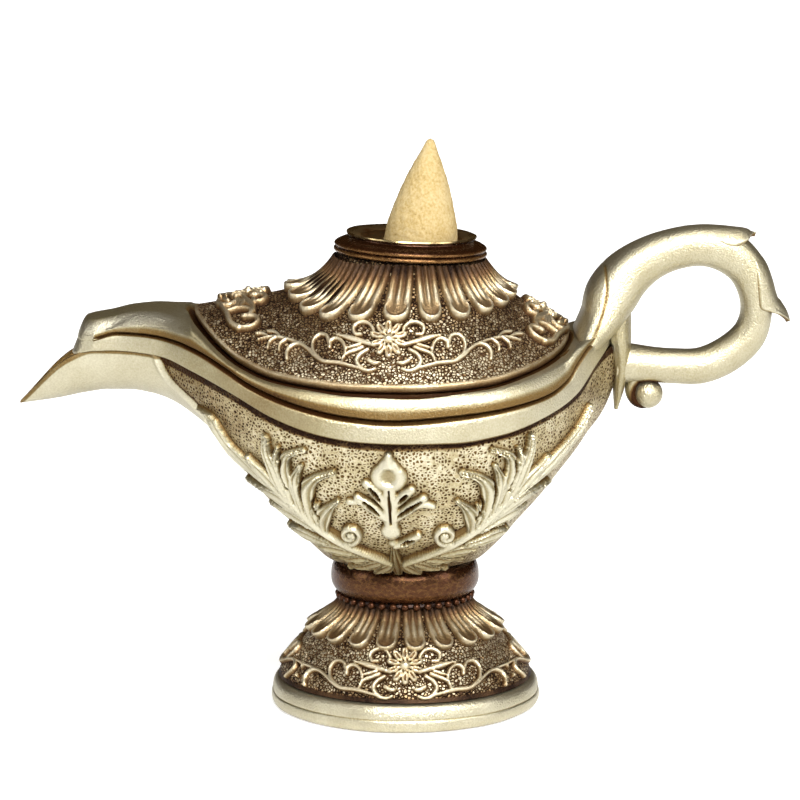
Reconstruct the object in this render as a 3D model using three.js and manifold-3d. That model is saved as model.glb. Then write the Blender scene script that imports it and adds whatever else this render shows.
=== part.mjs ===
// Backflow incense burner in the shape of an old oil lamp, in millimetres, +Z up.
// The spout points along -X, the handle along +X, and -Y is the front.
// A cone smoulders in a metal cup on the lid. Its smoke sinks through the cup's hole and the lid's throat
// into the hollow bowl, and pours out along the spout.
import * as THREE from 'three';
import { mergeVertices } from 'three/addons/utils/BufferGeometryUtils.js';
import Module from 'manifold-3d';

const wasm = await Module();
wasm.setup();

// Clearances
const GLUE_GAP = 0.3; // glue line between two castings
const SPIGOT_PLAY = 0.3; // spigot in its socket, on the radius
const LID_PLAY = 0.6; // lid flange inside the rim
const CUP_PLAY = 0.3; // cup well in the collar's bore
const REST_GAP = 0.3; // under a loose piece that rests on another

// Foot
const PAD_RADIUS = 23;
const PAD_THICKNESS = 1.5;
const PAD_PROUD = 0.4;
const PLINTH_RADIUS = 28.6;
const PLINTH_HEIGHT = 5.7;
const PLINTH_LEDGE = 1.2; // plinth beyond the skirt's hem
const SKIRT_HEIGHT = 17.5;
const SKIRT_SWEEP = 1.35; // above 1 the skirt swells under its neck
const NECK_RADIUS = 13.9;
const SPIGOT_RADIUS = 6;
const SPIGOT_BITE = 4.5; // spigot length inside the bowl
const BEAD_COUNT = 36;
const BEAD_RADIUS = 0.85;
const KNOP_RADIUS = 16;
const KNOP_HEIGHT = 8.2;

// Bowl
const BOWL_FOOT_RADIUS = 14.8;
const BOWL_DEPTH = 32.2; // from its foot to the rim's lowest point
const BOWL_WALL = 3.2;
const BOWL_FLOOR = 3;
const BELLY_HANDLE = 1.9; // roundness of the belly on each side, 1 is a straight cone
const BELLY_FRONT = 2.2;
const BELLY_SPOUT = 1.46;

// Rim, a saddle that climbs to the spout and to the handle
const RIM_LEFT = 52;
const RIM_RIGHT = 46;
const RIM_DEEP = 38.2;
const RIM_OVERHANG = 1.4; // rim beyond the bowl's top edge
const RIM_SADDLE = 0.0058; // climb in mm per square mm of distance from the middle
const SADDLE_LEVEL = 5; // the climb levels off this far inside the rim's end at the spout
const SADDLE_EASE = 6;
const HANDLE_RISE = 0.03;
const HANDLE_RISE_LENGTH = 12; // the rim rises faster over this length at the handle
const LOWER_BAND_HEIGHT = 4.7;
const LOWER_BAND_WIDTH = 5;
const UPPER_BAND_HEIGHT = 4.8;
const BAND_ROUND = 0.9;
const BAND_GROOVE = 0.6; // open groove between the two bands

// Lid
const LID_INSET_SPOUT = 7; // lid's edge inside the rim on each side
const LID_INSET_HANDLE = 10.8;
const LID_INSET_FRONT = 2.2;
const LID_SEAT = 5; // width of the rim under the lid
const LID_EDGE = 1.6;
const LID_WALL = 2.4;
const LID_SWEEP_FRONT = 1.05; // hollow of the lid towards its crown on each side, 1 is a straight cone
const LID_SWEEP_SPOUT = 3.2;
const LID_SWEEP_HANDLE = 1.6;
const FLANGE_DEPTH = 3;
const FLANGE_WIDTH = 2;
const FLANGE_ROOT = 0.92; // the lid's hollow starts at this share of the flange's inside
const CROWN_RADIUS = 15.2;
const CROWN_RISE = 23; // crown above the rim's lowest point
const CROWN_OFFSET = 1.1; // crown axis towards the handle
const CROWN_LEAN = THREE.MathUtils.degToRad(2.6);
const THROAT_RADIUS = 7.5;

// Petal rings on the lid and on the skirt
const PETAL_COUNT = 20;
const PETAL_THICKNESS = 1.5;
const LID_PETAL_REACH = 0.44; // share of the way from the crown to the lid's edge
const SKIRT_PETAL_REACH = 0.46; // share of the way from the neck to the hem
const PETAL_NOTCH = 0.3; // share of a petal's length that stands free of its neighbours
const PETAL_THIN = 0.45; // thickness at a petal's root and sides, as a share of its crest
const LID_PETAL_START = 0.03;
const SKIRT_PETAL_START = 0.05;

// Collar, cup and cone, on the crown's own axis
const COLLAR_HEIGHT = 3.6;
const COLLAR_RADIUS = 16.2;
const COLLAR_NECK_RADIUS = 13.4;
const CUP_RIM_RADIUS = 13.7;
const CUP_WELL_RADIUS = 10.9;
const CUP_WELL_DEPTH = 3.6;
const CUP_WALL = 0.7;
const CUP_HOLE_RADIUS = 2.5;
const CONE_RADIUS = 7.7;
const CONE_HEIGHT = 24.2;
const CONE_TIP_RADIUS = 1.3;
const CONE_BORE_RADIUS = 2;
const CONE_BORE_DEPTH = 12;
const CONE_OFFSET = 2.3; // the cone stands off the cup's middle, towards the handle

// Spout
const SPOUT_ROOT = 10; // the spout meets the bowl this far inside the rim's end
const SPOUT_LENGTH = 19; // from the rim's end to the mouth
const SPOUT_LIP = 11.6; // from the mouth to the tip
const SPOUT_CREST = 7; // the underside is highest this far beyond the rim's end
const SPOUT_CREST_DEPTH = 8.4; // trough's depth there
const SPOUT_TIP_FALL = 10.6; // the lip's edge falls by this from the mouth to the tip
const SPOUT_MOUTH_HALF = 7.2;
const SPOUT_TIP_HALF = 1.1;
const SPOUT_TIP_DEPTH = 1.2;
const SPOUT_WALL = 2.2;
const SPOUT_FLARE = 2.4; // how fast the spout widens towards the bowl
const LIP_TAPER = 1.4;
const KEEL_SWEEP = 1.8; // how late the underside turns down to the tip
const TROUGH_ROUND = 0.85; // below 1 the trough's section is squarer than an ellipse
const HOOD_ROOT = 4.5; // the hood and the strap start this far inside the rim's end
const HOOD_DROP = 3.1; // fall of the hood's top towards its mouth
const HOOD_CROWN = 0.3; // crown of the hood, as a share of the band's height
const HOOD_WIDEN = 0.2; // hood and strap beyond the trough's sides
const STRAP_WIDEN = 0.4;

// Handle: where its middle line passes, from the rim's end at the handle, and its half thickness there
const HANDLE_PATH = [
  { out: -4.5, up: -12, half: 6 },
  { out: -2.3, up: -3, half: 5.8 },
  { out: 0.8, up: 1.7, half: 5.4 },
  { out: 5.8, up: 5.7, half: 4.7 },
  { out: 12.2, up: 8, half: 4 },
  { out: 18.5, up: 8.6, half: 3.9 },
  { out: 24, up: 6.3, half: 3.8 },
  { out: 28.2, up: 1.9, half: 3.6 },
  { out: 29.8, up: -4.1, half: 3.5 },
  { out: 28.4, up: -9.4, half: 3.6 },
  { out: 23.2, up: -14.9, half: 3.7 },
  { out: 12.1, up: -17.5, half: 3.7 },
  { out: 6.5, up: -17.2, half: 3.8 },
  { out: -2, up: -16.7, half: 4.2 },
];
const ARM_STATION = HANDLE_PATH.at(-2); // the station above the ball
const HANDLE_DEPTH_SHARE = 1.12; // section depth over its thickness
const LEAF_THICKNESS = 1.6;
const THUMB_LEAF = { from: 0.3, to: 0.5, tipLift: 1.6, halfDepth: 3 };
const SPUR_LEAF = { from: 0.53, to: 0.68, tipLift: 3.1, halfDepth: 2.6 };
const BALL_RADIUS = 3.5;
const SCROLL_RADIUS = 1;
const SCROLL_START = THREE.MathUtils.degToRad(128); // angles round the ball
const SCROLL_END = THREE.MathUtils.degToRad(235);
const SCROLL_DEPTH_SHARE = 0.8;
const ROOT_LEAF = { from: 0.82, to: 0.52, halfDepth: 4.2, tipHalfDepth: 0.7, tipLift: 0.8 };
const LEAF_CLEAR = 0.2; // extra gap under a leaf on a faceted face

// Relief on the bowl
const STEM_HALF_WIDTH = 1.3;
const LEAF_HALF_WIDTH = 1.7;
const RELIEF_HALF_HEIGHT = 0.65;
const RELIEF_CLEAR = 0.25; // extra gap under relief on a faceted face

// Flower scrolls on the lid and on the skirt: a stem, a curl and a tendril on each side of a flower
const FLOWER_RADIUS = 3.4;
const VINE_HALF_WIDTH = 0.8;
const SCROLL_HALF_HEIGHT = 0.4;
const VINE_LINES = [
  [[1.8, -1.4], [7, -5.2], [13.4, -4.6], [17.6, -1.4], [20.6, -3]],
  [[12.6, -4.7], [10, -2], [12.6, 0.8], [15.6, -1]],
  [[1.5, -0.3], [6, -0.2], [11, 0.8]],
];
const LID_SCROLL_SHARE = 0.66; // share of the flower on the way from the crown to the edge
const SKIRT_SCROLL_SHARE = 0.7;
const SKIRT_SCROLLS = 3;

// Facets
const ROUND_STEPS = 32;
const RIM_STEPS = 44;
const BOWL_RINGS = 6;
const PETAL_STEPS = 4;

// Heights, from the floor up
const plinthTop = PAD_PROUD + PLINTH_HEIGHT;
const skirtBottom = plinthTop + GLUE_GAP;
const skirtTop = skirtBottom + SKIRT_HEIGHT;
const skirtShoulder = skirtTop - 2 * BEAD_RADIUS - GLUE_GAP;
const beadCentre = NECK_RADIUS - BEAD_RADIUS / 2;
const knopBottom = skirtTop + GLUE_GAP;
const knopTop = knopBottom + KNOP_HEIGHT;
const bowlBottom = knopTop + GLUE_GAP;
const rimLow = bowlBottom + BOWL_DEPTH;
const lowerBandTop = LOWER_BAND_HEIGHT;
const upperBandBottom = lowerBandTop + BAND_GROOVE;
const seatRise = upperBandBottom + UPPER_BAND_HEIGHT;
const crownBase = rimLow + seatRise + CROWN_RISE;

// Plans: how far each outline reaches to the spout, to the handle and to the front
const RIM_PLAN = { left: RIM_LEFT, right: RIM_RIGHT, deep: RIM_DEEP };
const BOWL_PLAN = grown(RIM_PLAN, -RIM_OVERHANG);
const LID_PLAN = {
  left: RIM_LEFT - LID_INSET_SPOUT,
  right: RIM_RIGHT - LID_INSET_HANDLE,
  deep: RIM_DEEP - LID_INSET_FRONT,
};
const SEAT_PLAN = grown(LID_PLAN, -LID_SEAT);
const FLANGE_PLAN = grown(SEAT_PLAN, -LID_PLAY);

// Distances from the middle towards the spout
const saddleLevel = RIM_LEFT - SADDLE_LEVEL;
const spoutJoint = RIM_LEFT - SPOUT_ROOT;
const hoodStart = RIM_LEFT - HOOD_ROOT;
const spoutCrest = RIM_LEFT + SPOUT_CREST;
const spoutMouth = RIM_LEFT + SPOUT_LENGTH;
const spoutTip = spoutMouth + SPOUT_LIP;

function grown(plan, by) {
  return { left: plan.left + by, right: plan.right + by, deep: plan.deep + by };
}

function planPoint(plan, angle) {
  const c = Math.cos(angle);
  return [(c < 0 ? plan.left : plan.right) * c, plan.deep * Math.sin(angle)];
}

function mix(a, b, share) {
  return a + (b - a) * share;
}

// Height of the bowl's top edge at x. Every level of the rim runs parallel to it.
function rimLevel(x) {
  const out = Math.max(0, -x);
  const over = saddleLevel + SADDLE_EASE - out;
  let eased = out;
  if (over < 0) eased = saddleLevel;
  else if (over < 2 * SADDLE_EASE) eased = saddleLevel - over ** 2 / (4 * SADDLE_EASE);
  const reach = x < 0 ? eased : x;
  const rising = Math.max(0, x - (RIM_RIGHT - HANDLE_RISE_LENGTH));
  return rimLow + RIM_SADDLE * reach ** 2 + HANDLE_RISE * rising ** 2;
}

// A point of a plan, at a height above the rim's level there
function rimPoint(plan, angle, rise) {
  const [x, y] = planPoint(plan, angle);
  return new THREE.Vector3(x, y, rimLevel(x) + rise);
}

// Point of the bowl's wall: share runs from its foot to its top edge, and inset moves in through the wall.
function bowlPoint(angle, share, inset = 0, floor = 0) {
  const c = Math.cos(angle);
  const side = c < 0 ? BELLY_SPOUT : BELLY_HANDLE;
  const belly = mix(BELLY_FRONT, side, c ** 2);
  const out = 1 - (1 - share) ** belly;
  const [x, y] = planPoint(grown(BOWL_PLAN, -inset), angle);
  const foot = BOWL_FOOT_RADIUS - inset;
  const z = mix(bowlBottom + floor, rimLevel(x), share);
  return new THREE.Vector3(mix(foot * c, x, out), mix(foot * Math.sin(angle), y, out), z);
}

// Point of the lid's outer face: share runs from the crown's edge to the lid's edge.
function lidPoint(angle, share) {
  const [x, y] = planPoint(LID_PLAN, angle);
  const edge = rimLevel(x) + seatRise + REST_GAP + LID_EDGE;
  const crown = crownPoint(angle, CROWN_RADIUS);
  const c = Math.cos(angle);
  const sweep = mix(LID_SWEEP_FRONT, c < 0 ? LID_SWEEP_SPOUT : LID_SWEEP_HANDLE, c ** 2);
  const fall = 1 - (1 - share) ** sweep;
  return new THREE.Vector3(mix(crown.x, x, share), mix(crown.y, y, share), mix(crown.z, edge, fall));
}

function crownPoint(angle, radius, rise = 0) {
  const local = new THREE.Vector3(radius * Math.cos(angle), radius * Math.sin(angle), rise);
  return local.applyEuler(new THREE.Euler(0, CROWN_LEAN, 0)).add(crownOrigin());
}

function crownOrigin() {
  return new THREE.Vector3(CROWN_OFFSET, 0, crownBase);
}

// Point of the skirt's face: share runs from the neck to the hem.
function skirtPoint(angle, share) {
  const radius = skirtRadius(share);
  const z = mix(skirtShoulder, skirtBottom, share);
  return new THREE.Vector3(radius * Math.cos(angle), radius * Math.sin(angle), z);
}

function skirtRadius(share) {
  return mix(NECK_RADIUS, PLINTH_RADIUS - PLINTH_LEDGE, share ** (1 / SKIRT_SWEEP));
}

// A point lifted off a face along its normal
function lifted(face, angle, share, lift) {
  const step = 0.01;
  const low = Math.max(0, share - step);
  const here = face(angle, share);
  const round = face(angle + step, share).sub(face(angle - step, share));
  const down = face(angle, Math.min(1, share + step)).sub(face(angle, low));
  const normal = down.cross(round).normalize();
  if (normal.x * here.x + normal.y * here.y < 0) normal.negate();
  return here.addScaledVector(normal, lift);
}

// A closed body from rows of points. Rows are joined one to the next; ends are closed by fans unless looped.
function skin(rows, looped = false) {
  const count = rows[0].length;
  const points = rows.flat();
  const faces = [];
  const last = looped ? rows.length : rows.length - 1;
  for (let i = 0; i < last; i++) {
    const here = i * count;
    const next = ((i + 1) % rows.length) * count;
    for (let j = 0; j < count; j++) {
      const k = (j + 1) % count;
      faces.push(here + j, next + j, next + k, here + j, next + k, here + k);
    }
  }
  if (!looped) {
    for (const [row, flip] of [[0, false], [rows.length - 1, true]]) {
      const middle = rows[row].reduce((sum, p) => sum.add(p), new THREE.Vector3()).divideScalar(count);
      points.push(middle);
      for (let j = 0; j < count; j++) {
        const a = row * count + j;
        const b = row * count + ((j + 1) % count);
        faces.push(points.length - 1, flip ? b : a, flip ? a : b);
      }
    }
  }
  return geometryFrom(points, faces);
}

// A closed body round the Z axis whose profile changes with the angle and starts and ends on the axis
function skinRoundAxis(steps, profileAt) {
  const rows = Array.from({ length: steps }, (_, i) => profileAt((i / steps) * Math.PI * 2));
  const bottom = rows[0][0];
  const top = rows[0].at(-1);
  const inner = rows.map((row) => row.slice(1, -1));
  const count = inner[0].length;
  const points = [...inner.flat(), bottom, top];
  const faces = [];
  for (let i = 0; i < steps; i++) {
    const here = i * count;
    const next = ((i + 1) % steps) * count;
    for (let j = 0; j < count - 1; j++) {
      faces.push(here + j, next + j, next + j + 1, here + j, next + j + 1, here + j + 1);
    }
    faces.push(points.length - 2, next, here);
    faces.push(points.length - 1, here + count - 1, next + count - 1);
  }
  return geometryFrom(points, faces);
}

function geometryFrom(points, faces) {
  const geometry = new THREE.BufferGeometry();
  geometry.setFromPoints(points);
  geometry.setIndex(faces);
  return facingOut(geometry);
}

// Turns every face round if the body is inside out
function facingOut(geometry) {
  const index = geometry.index;
  const at = geometry.getAttribute('position');
  const corner = [0, 1, 2].map(() => new THREE.Vector3());
  let volume = 0;
  for (let i = 0; i < index.count; i += 3) {
    corner.forEach((p, k) => p.fromBufferAttribute(at, index.getX(i + k)));
    volume += corner[0].dot(corner[1].clone().cross(corner[2]));
  }
  if (volume < 0) {
    for (let i = 0; i < index.count; i += 3) {
      const b = index.getX(i + 1);
      index.setX(i + 1, index.getX(i + 2));
      index.setX(i + 2, b);
    }
  }
  return geometry;
}

// A turned piece: a profile of [radius, height] points, closed on itself or ending on the axis
function turned(profile, steps = ROUND_STEPS) {
  const lathe = new THREE.LatheGeometry(profile.map(([r, z]) => new THREE.Vector2(r, z)), steps);
  return lathe.rotateX(Math.PI / 2);
}

function bare(geometry) {
  const copy = geometry.clone();
  copy.deleteAttribute('normal');
  copy.deleteAttribute('uv');
  return mergeVertices(copy, 1e-4);
}

function solid(geometry) {
  const merged = bare(geometry);
  return new wasm.Manifold(
    new wasm.Mesh({
      numProp: 3,
      vertProperties: merged.attributes.position.array,
      triVerts: new Uint32Array(merged.index.array),
    }),
  );
}

function geometryOf(body) {
  const mesh = body.getMesh();
  const geometry = new THREE.BufferGeometry();
  geometry.setAttribute('position', new THREE.BufferAttribute(mesh.vertProperties, 3));
  geometry.setIndex(new THREE.BufferAttribute(mesh.triVerts, 1));
  return geometry;
}

function joined(geometries) {
  return geometryOf(geometries.map(solid).reduce((sum, body) => sum.add(body)));
}

function cutBy(geometry, ...cutters) {
  return geometryOf(cutters.map(solid).reduce((body, cutter) => body.subtract(cutter), solid(geometry)));
}

// A block that covers everything on the spout's side of x
function spoutSideOf(x) {
  const size = 4 * spoutTip;
  return new THREE.BoxGeometry(size, size, size).translate(x - size / 2, 0, 0);
}

// A flat-bellied strand that follows a path given as points, normals and half sizes
function strand(stations, sides = 6) {
  const rows = stations.map(({ at, normal, half, high }, i) => {
    const before = stations[Math.max(0, i - 1)].at;
    const after = stations[Math.min(stations.length - 1, i + 1)].at;
    const along = after.clone().sub(before).normalize();
    const across = normal.clone().cross(along).normalize();
    const up = along.clone().cross(across);
    return Array.from({ length: sides }, (_, k) => {
      const turn = (k / sides) * Math.PI * 2;
      return at.clone()
        .addScaledVector(across, half * Math.cos(turn))
        .addScaledVector(up, high * Math.sin(turn));
    });
  });
  return skin(rows);
}

// Foot: felt pad, plinth, skirt with its spigot, knop and bead ring
function feltPad() {
  return turned([[0, 0], [PAD_RADIUS, 0], [PAD_RADIUS, PAD_THICKNESS], [0, PAD_THICKNESS]]);
}

function plinth() {
  const recess = PAD_THICKNESS + GLUE_GAP;
  const wall = PAD_RADIUS + GLUE_GAP;
  const step = PLINTH_HEIGHT / 6;
  const shoulder = PLINTH_RADIUS - PLINTH_LEDGE / 2;
  return turned([
    [0, recess],
    [wall, recess],
    [wall, PAD_PROUD],
    [PLINTH_RADIUS - step, PAD_PROUD],
    [PLINTH_RADIUS, PAD_PROUD + step],
    [PLINTH_RADIUS, PAD_PROUD + 2.6 * step],
    [shoulder, PAD_PROUD + 3.2 * step],
    [shoulder, PAD_PROUD + 5 * step],
    [shoulder - step, plinthTop],
    [0, plinthTop],
  ]);
}

function skirt() {
  const rings = 6;
  const face = Array.from({ length: rings + 1 }, (_, i) => 1 - i / rings);
  const spigotTop = bowlBottom + SPIGOT_BITE;
  return turned([
    [0, skirtBottom],
    ...face.map((share) => [skirtRadius(share), mix(skirtShoulder, skirtBottom, share)]),
    [beadCentre - BEAD_RADIUS - GLUE_GAP, skirtShoulder],
    [beadCentre - BEAD_RADIUS - GLUE_GAP, skirtTop],
    [SPIGOT_RADIUS, skirtTop],
    [SPIGOT_RADIUS, spigotTop],
    [0, spigotTop],
  ]);
}

function knop() {
  const bore = SPIGOT_RADIUS + SPIGOT_PLAY;
  const bulge = 6;
  const half = KNOP_HEIGHT / 2;
  const waist = KNOP_RADIUS - half;
  const round = Array.from({ length: bulge + 1 }, (_, i) => {
    const turn = mix(-Math.PI / 2, Math.PI / 2, i / bulge);
    return [waist + half * Math.cos(turn), knopBottom + half + half * Math.sin(turn)];
  });
  return turned([[bore, knopBottom], ...round, [bore, knopTop], [bore, knopBottom]]);
}

// Beads strung close together round the neck, under the knop
function beadRing() {
  const perBead = 2;
  const sides = 4;
  const height = skirtTop - BEAD_RADIUS;
  const rows = Array.from({ length: BEAD_COUNT * perBead }, (_, i) => {
    const angle = (i / (BEAD_COUNT * perBead)) * Math.PI * 2;
    const radius = i % perBead ? BEAD_RADIUS : BEAD_RADIUS * 0.6;
    return Array.from({ length: sides }, (_, k) => {
      const turn = (k / sides) * Math.PI * 2;
      const out = beadCentre + radius * Math.cos(turn);
      const up = height + radius * Math.sin(turn);
      return new THREE.Vector3(out * Math.cos(angle), out * Math.sin(angle), up);
    });
  });
  return skin(rows, true);
}

// A ring of tongue-shaped petals that lies on a face, from share 0 to the petals' tips
function petalRing(face, start, reach) {
  const steps = PETAL_COUNT * PETAL_STEPS;
  const rows = Array.from({ length: steps }, (_, i) => {
    const angle = (i / steps) * Math.PI * 2 - Math.PI / 2;
    const swell = Math.abs(Math.cos((i / PETAL_STEPS) * Math.PI));
    const tip = start + (reach - start) * (1 - PETAL_NOTCH * (1 - swell));
    const crest = GLUE_GAP + PETAL_THICKNESS * mix(PETAL_THIN, 1, swell);
    const low = GLUE_GAP + PETAL_THICKNESS * PETAL_THIN;
    const clear = GLUE_GAP + RELIEF_CLEAR / 2;
    const under = [start, mix(start, tip, 0.4), tip].map((share) => lifted(face, angle, share, clear));
    const over = [lifted(face, angle, start, low), lifted(face, angle, tip, crest)];
    return [...under, ...over.reverse()];
  });
  return skin(rows, true);
}

// Bowl: a hollow shell, open at the top and cut square where the spout joins it
function bowl() {
  const socket = SPIGOT_RADIUS + SPIGOT_PLAY;
  const socketTop = bowlBottom + SPIGOT_BITE + GLUE_GAP;
  const floor = SPIGOT_BITE + GLUE_GAP + BOWL_FLOOR;
  const shares = Array.from({ length: BOWL_RINGS + 1 }, (_, i) => i / BOWL_RINGS);
  const shell = skinRoundAxis(RIM_STEPS, (angle) => {
    const c = Math.cos(angle);
    const s = Math.sin(angle);
    return [
      new THREE.Vector3(0, 0, socketTop),
      new THREE.Vector3(socket * c, socket * s, socketTop),
      new THREE.Vector3(socket * c, socket * s, bowlBottom),
      ...shares.map((share) => bowlPoint(angle, share)),
      ...shares.toReversed().map((share) => bowlPoint(angle, share, BOWL_WALL, floor)),
      new THREE.Vector3(0, 0, bowlBottom + floor),
    ];
  });
  return cutBy(shell, spoutSideOf(-spoutJoint));
}

// One band of the rim: a loop between two levels, from the rim's outline in to an inner outline
function band(bottom, top, inner) {
  const edge = grown(RIM_PLAN, -BAND_ROUND);
  const middle = grown(RIM_PLAN, -LOWER_BAND_WIDTH);
  const rows = Array.from({ length: RIM_STEPS }, (_, i) => {
    const angle = (i / RIM_STEPS) * Math.PI * 2;
    const row = [
      rimPoint(edge, angle, bottom),
      rimPoint(RIM_PLAN, angle, bottom + BAND_ROUND),
      rimPoint(RIM_PLAN, angle, top - BAND_ROUND),
      rimPoint(edge, angle, top),
    ];
    if (inner) {
      row.push(rimPoint(LID_PLAN, angle, top), rimPoint(inner, angle, top), rimPoint(inner, angle, bottom));
    } else {
      row.push(rimPoint(middle, angle, top));
    }
    row.push(rimPoint(middle, angle, bottom));
    return row;
  });
  return skin(rows, true);
}

// Half width of the spout, and the height of its underside, at a distance from the middle
function spoutHalf(out) {
  if (out > spoutMouth) return mix(SPOUT_MOUTH_HALF, SPOUT_TIP_HALF, lipShare(out) ** LIP_TAPER);
  const joint = BOWL_PLAN.deep * Math.sqrt(1 - (spoutJoint / BOWL_PLAN.left) ** 2);
  const share = (out - spoutJoint) / (spoutMouth - spoutJoint);
  return mix(SPOUT_MOUTH_HALF, joint, Math.max(0, 1 - share) ** SPOUT_FLARE);
}

function spoutUnderside(out) {
  const crest = spoutEdge(spoutCrest) - SPOUT_CREST_DEPTH;
  if (out > spoutCrest) {
    const share = (out - spoutCrest) / (spoutTip - spoutCrest);
    return mix(crest, spoutEdge(spoutTip) - SPOUT_TIP_DEPTH, share ** KEEL_SWEEP);
  }
  const share = (spoutCrest - out) / (spoutCrest - spoutJoint);
  return mix(crest, bowlHeightAt(spoutJoint), share ** 2);
}

// Height of the bowl's spout-side outline at a distance from the middle
function bowlHeightAt(out) {
  const swell = (out - BOWL_FOOT_RADIUS) / (BOWL_PLAN.left - BOWL_FOOT_RADIUS);
  const share = 1 - (1 - swell) ** (1 / BELLY_SPOUT);
  return mix(bowlBottom, rimLevel(-BOWL_PLAN.left), share);
}

function spoutEdge(out) {
  return rimLevel(-Math.min(out, spoutMouth)) - GLUE_GAP - SPOUT_TIP_FALL * lipShare(out);
}

// Share of the way from the mouth to the tip
function lipShare(out) {
  return Math.max(0, (out - spoutMouth) / (spoutTip - spoutMouth));
}

// Spout: an open trough from the bowl to the pouring lip
function spoutTrough() {
  const rings = 10;
  const arc = 8;
  const start = spoutJoint + GLUE_GAP;
  const rows = Array.from({ length: rings + 1 }, (_, i) => {
    const out = mix(start, spoutTip, i / rings);
    const top = spoutEdge(out);
    const depth = top - spoutUnderside(out);
    const half = spoutHalf(out);
    const wall = Math.min(SPOUT_WALL, 0.5 * depth, 0.6 * half);
    const shares = Array.from({ length: arc + 1 }, (_, k) => k / arc);
    const outer = shares.map((share) => trough(out, top, half, depth, share));
    const inner = shares.map((share) => trough(out, top, half - wall, depth - wall, share));
    return [...outer, ...inner.reverse()];
  });
  return openEnded(rows, arc + 1);
}

function trough(out, top, half, depth, share) {
  const turn = Math.PI * share;
  return new THREE.Vector3(-out, half * Math.cos(turn), top - depth * Math.sin(turn) ** TROUGH_ROUND);
}

// A trough's rows, whose ends are closed between the outer and the inner line
function openEnded(rows, lineLength) {
  const count = rows[0].length;
  const faces = [];
  for (let i = 0; i < rows.length - 1; i++) {
    for (let j = 0; j < count; j++) {
      const k = (j + 1) % count;
      const here = i * count;
      const next = here + count;
      faces.push(here + j, next + j, next + k, here + j, next + k, here + k);
    }
  }
  for (const [row, flip] of [[0, false], [rows.length - 1, true]]) {
    for (let j = 0; j < lineLength - 1; j++) {
      const quad = [j, j + 1, count - 2 - j, count - 1 - j].map((n) => row * count + n);
      const [a, b, c, d] = flip ? quad.reverse() : quad;
      faces.push(a, b, c, a, c, d);
    }
  }
  return geometryFrom(rows.flat(), faces);
}

// The rim's run-out over the spout: a bar with a crowned top, from inside the rim to the mouth
function spoutBar(bottom, topAt, crown, widen) {
  const rings = 5;
  const across = 5;
  const rows = Array.from({ length: rings + 1 }, (_, i) => {
    const out = mix(hoodStart, spoutMouth, i / rings);
    const half = spoutHalf(out) + widen;
    const low = rimLevel(-out) + bottom;
    const top = topAt(out);
    const upper = Array.from({ length: across + 1 }, (_, k) => {
      const side = mix(1, -1, k / across);
      return new THREE.Vector3(-out, half * side, top - crown * side ** 2);
    });
    return [new THREE.Vector3(-out, -half, low), new THREE.Vector3(-out, half, low), ...upper];
  });
  return skin(rows);
}

function lowerBand() {
  const strap = spoutBar(GLUE_GAP, (out) => rimLevel(-out) + lowerBandTop, 0, STRAP_WIDEN);
  return joined([band(GLUE_GAP, lowerBandTop, null), strap]);
}

function upperBand() {
  const hoodTop = (out) => {
    const share = (out - hoodStart) / (spoutMouth - hoodStart);
    return rimLevel(-out) + seatRise - HOOD_DROP * share ** 2;
  };
  const hood = spoutBar(upperBandBottom, hoodTop, UPPER_BAND_HEIGHT * HOOD_CROWN, HOOD_WIDEN);
  return joined([band(upperBandBottom, seatRise, SEAT_PLAN), hood]);
}

// A filled body of the bowl and its rim, grown on every side, for trimming what meets them
function vesselBody(grow) {
  const shares = Array.from({ length: BOWL_RINGS + 1 }, (_, i) => i / BOWL_RINGS);
  return skinRoundAxis(RIM_STEPS, (angle) => [
    new THREE.Vector3(0, 0, bowlBottom),
    ...shares.map((share) => bowlPoint(angle, share, -grow)),
    rimPoint(grown(RIM_PLAN, grow), angle, -grow),
    rimPoint(grown(RIM_PLAN, grow), angle, seatRise),
    rimPoint(grown(RIM_PLAN, grow - BAND_ROUND), angle, seatRise + grow),
    rimPoint(SEAT_PLAN, angle, seatRise + grow),
    new THREE.Vector3(0, 0, rimLow + seatRise),
  ]);
}

// Handle: a strap that climbs out of the rim, loops over and comes back to the bowl
function handlePoint({ out, up }) {
  return new THREE.Vector3(RIM_RIGHT + out, 0, rimLevel(RIM_RIGHT) + seatRise + up);
}

const handleCurve = new THREE.CatmullRomCurve3(HANDLE_PATH.map(handlePoint), false, 'centripetal');

// Half thickness of the handle at a share of the way along its stations
function handleHalf(share) {
  const place = share * (HANDLE_PATH.length - 1);
  const before = Math.min(Math.floor(place), HANDLE_PATH.length - 2);
  return mix(HANDLE_PATH[before].half, HANDLE_PATH[before + 1].half, place - before);
}

function handleLoop() {
  const rings = 30;
  const normal = new THREE.Vector3(0, 1, 0);
  const stations = Array.from({ length: rings + 1 }, (_, i) => {
    const thick = handleHalf(i / rings);
    return { at: handleCurve.getPoint(i / rings), normal, half: thick, high: thick * HANDLE_DEPTH_SHARE };
  });
  const loop = joined([strand(stations, 8), scroll()]);
  return cutBy(loop, vesselBody(GLUE_GAP), rootLeaf(GLUE_GAP));
}

function ballCentre() {
  const arm = handlePoint(ARM_STATION);
  return arm.setZ(arm.z - ARM_STATION.half - GLUE_GAP - BALL_RADIUS);
}

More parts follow.
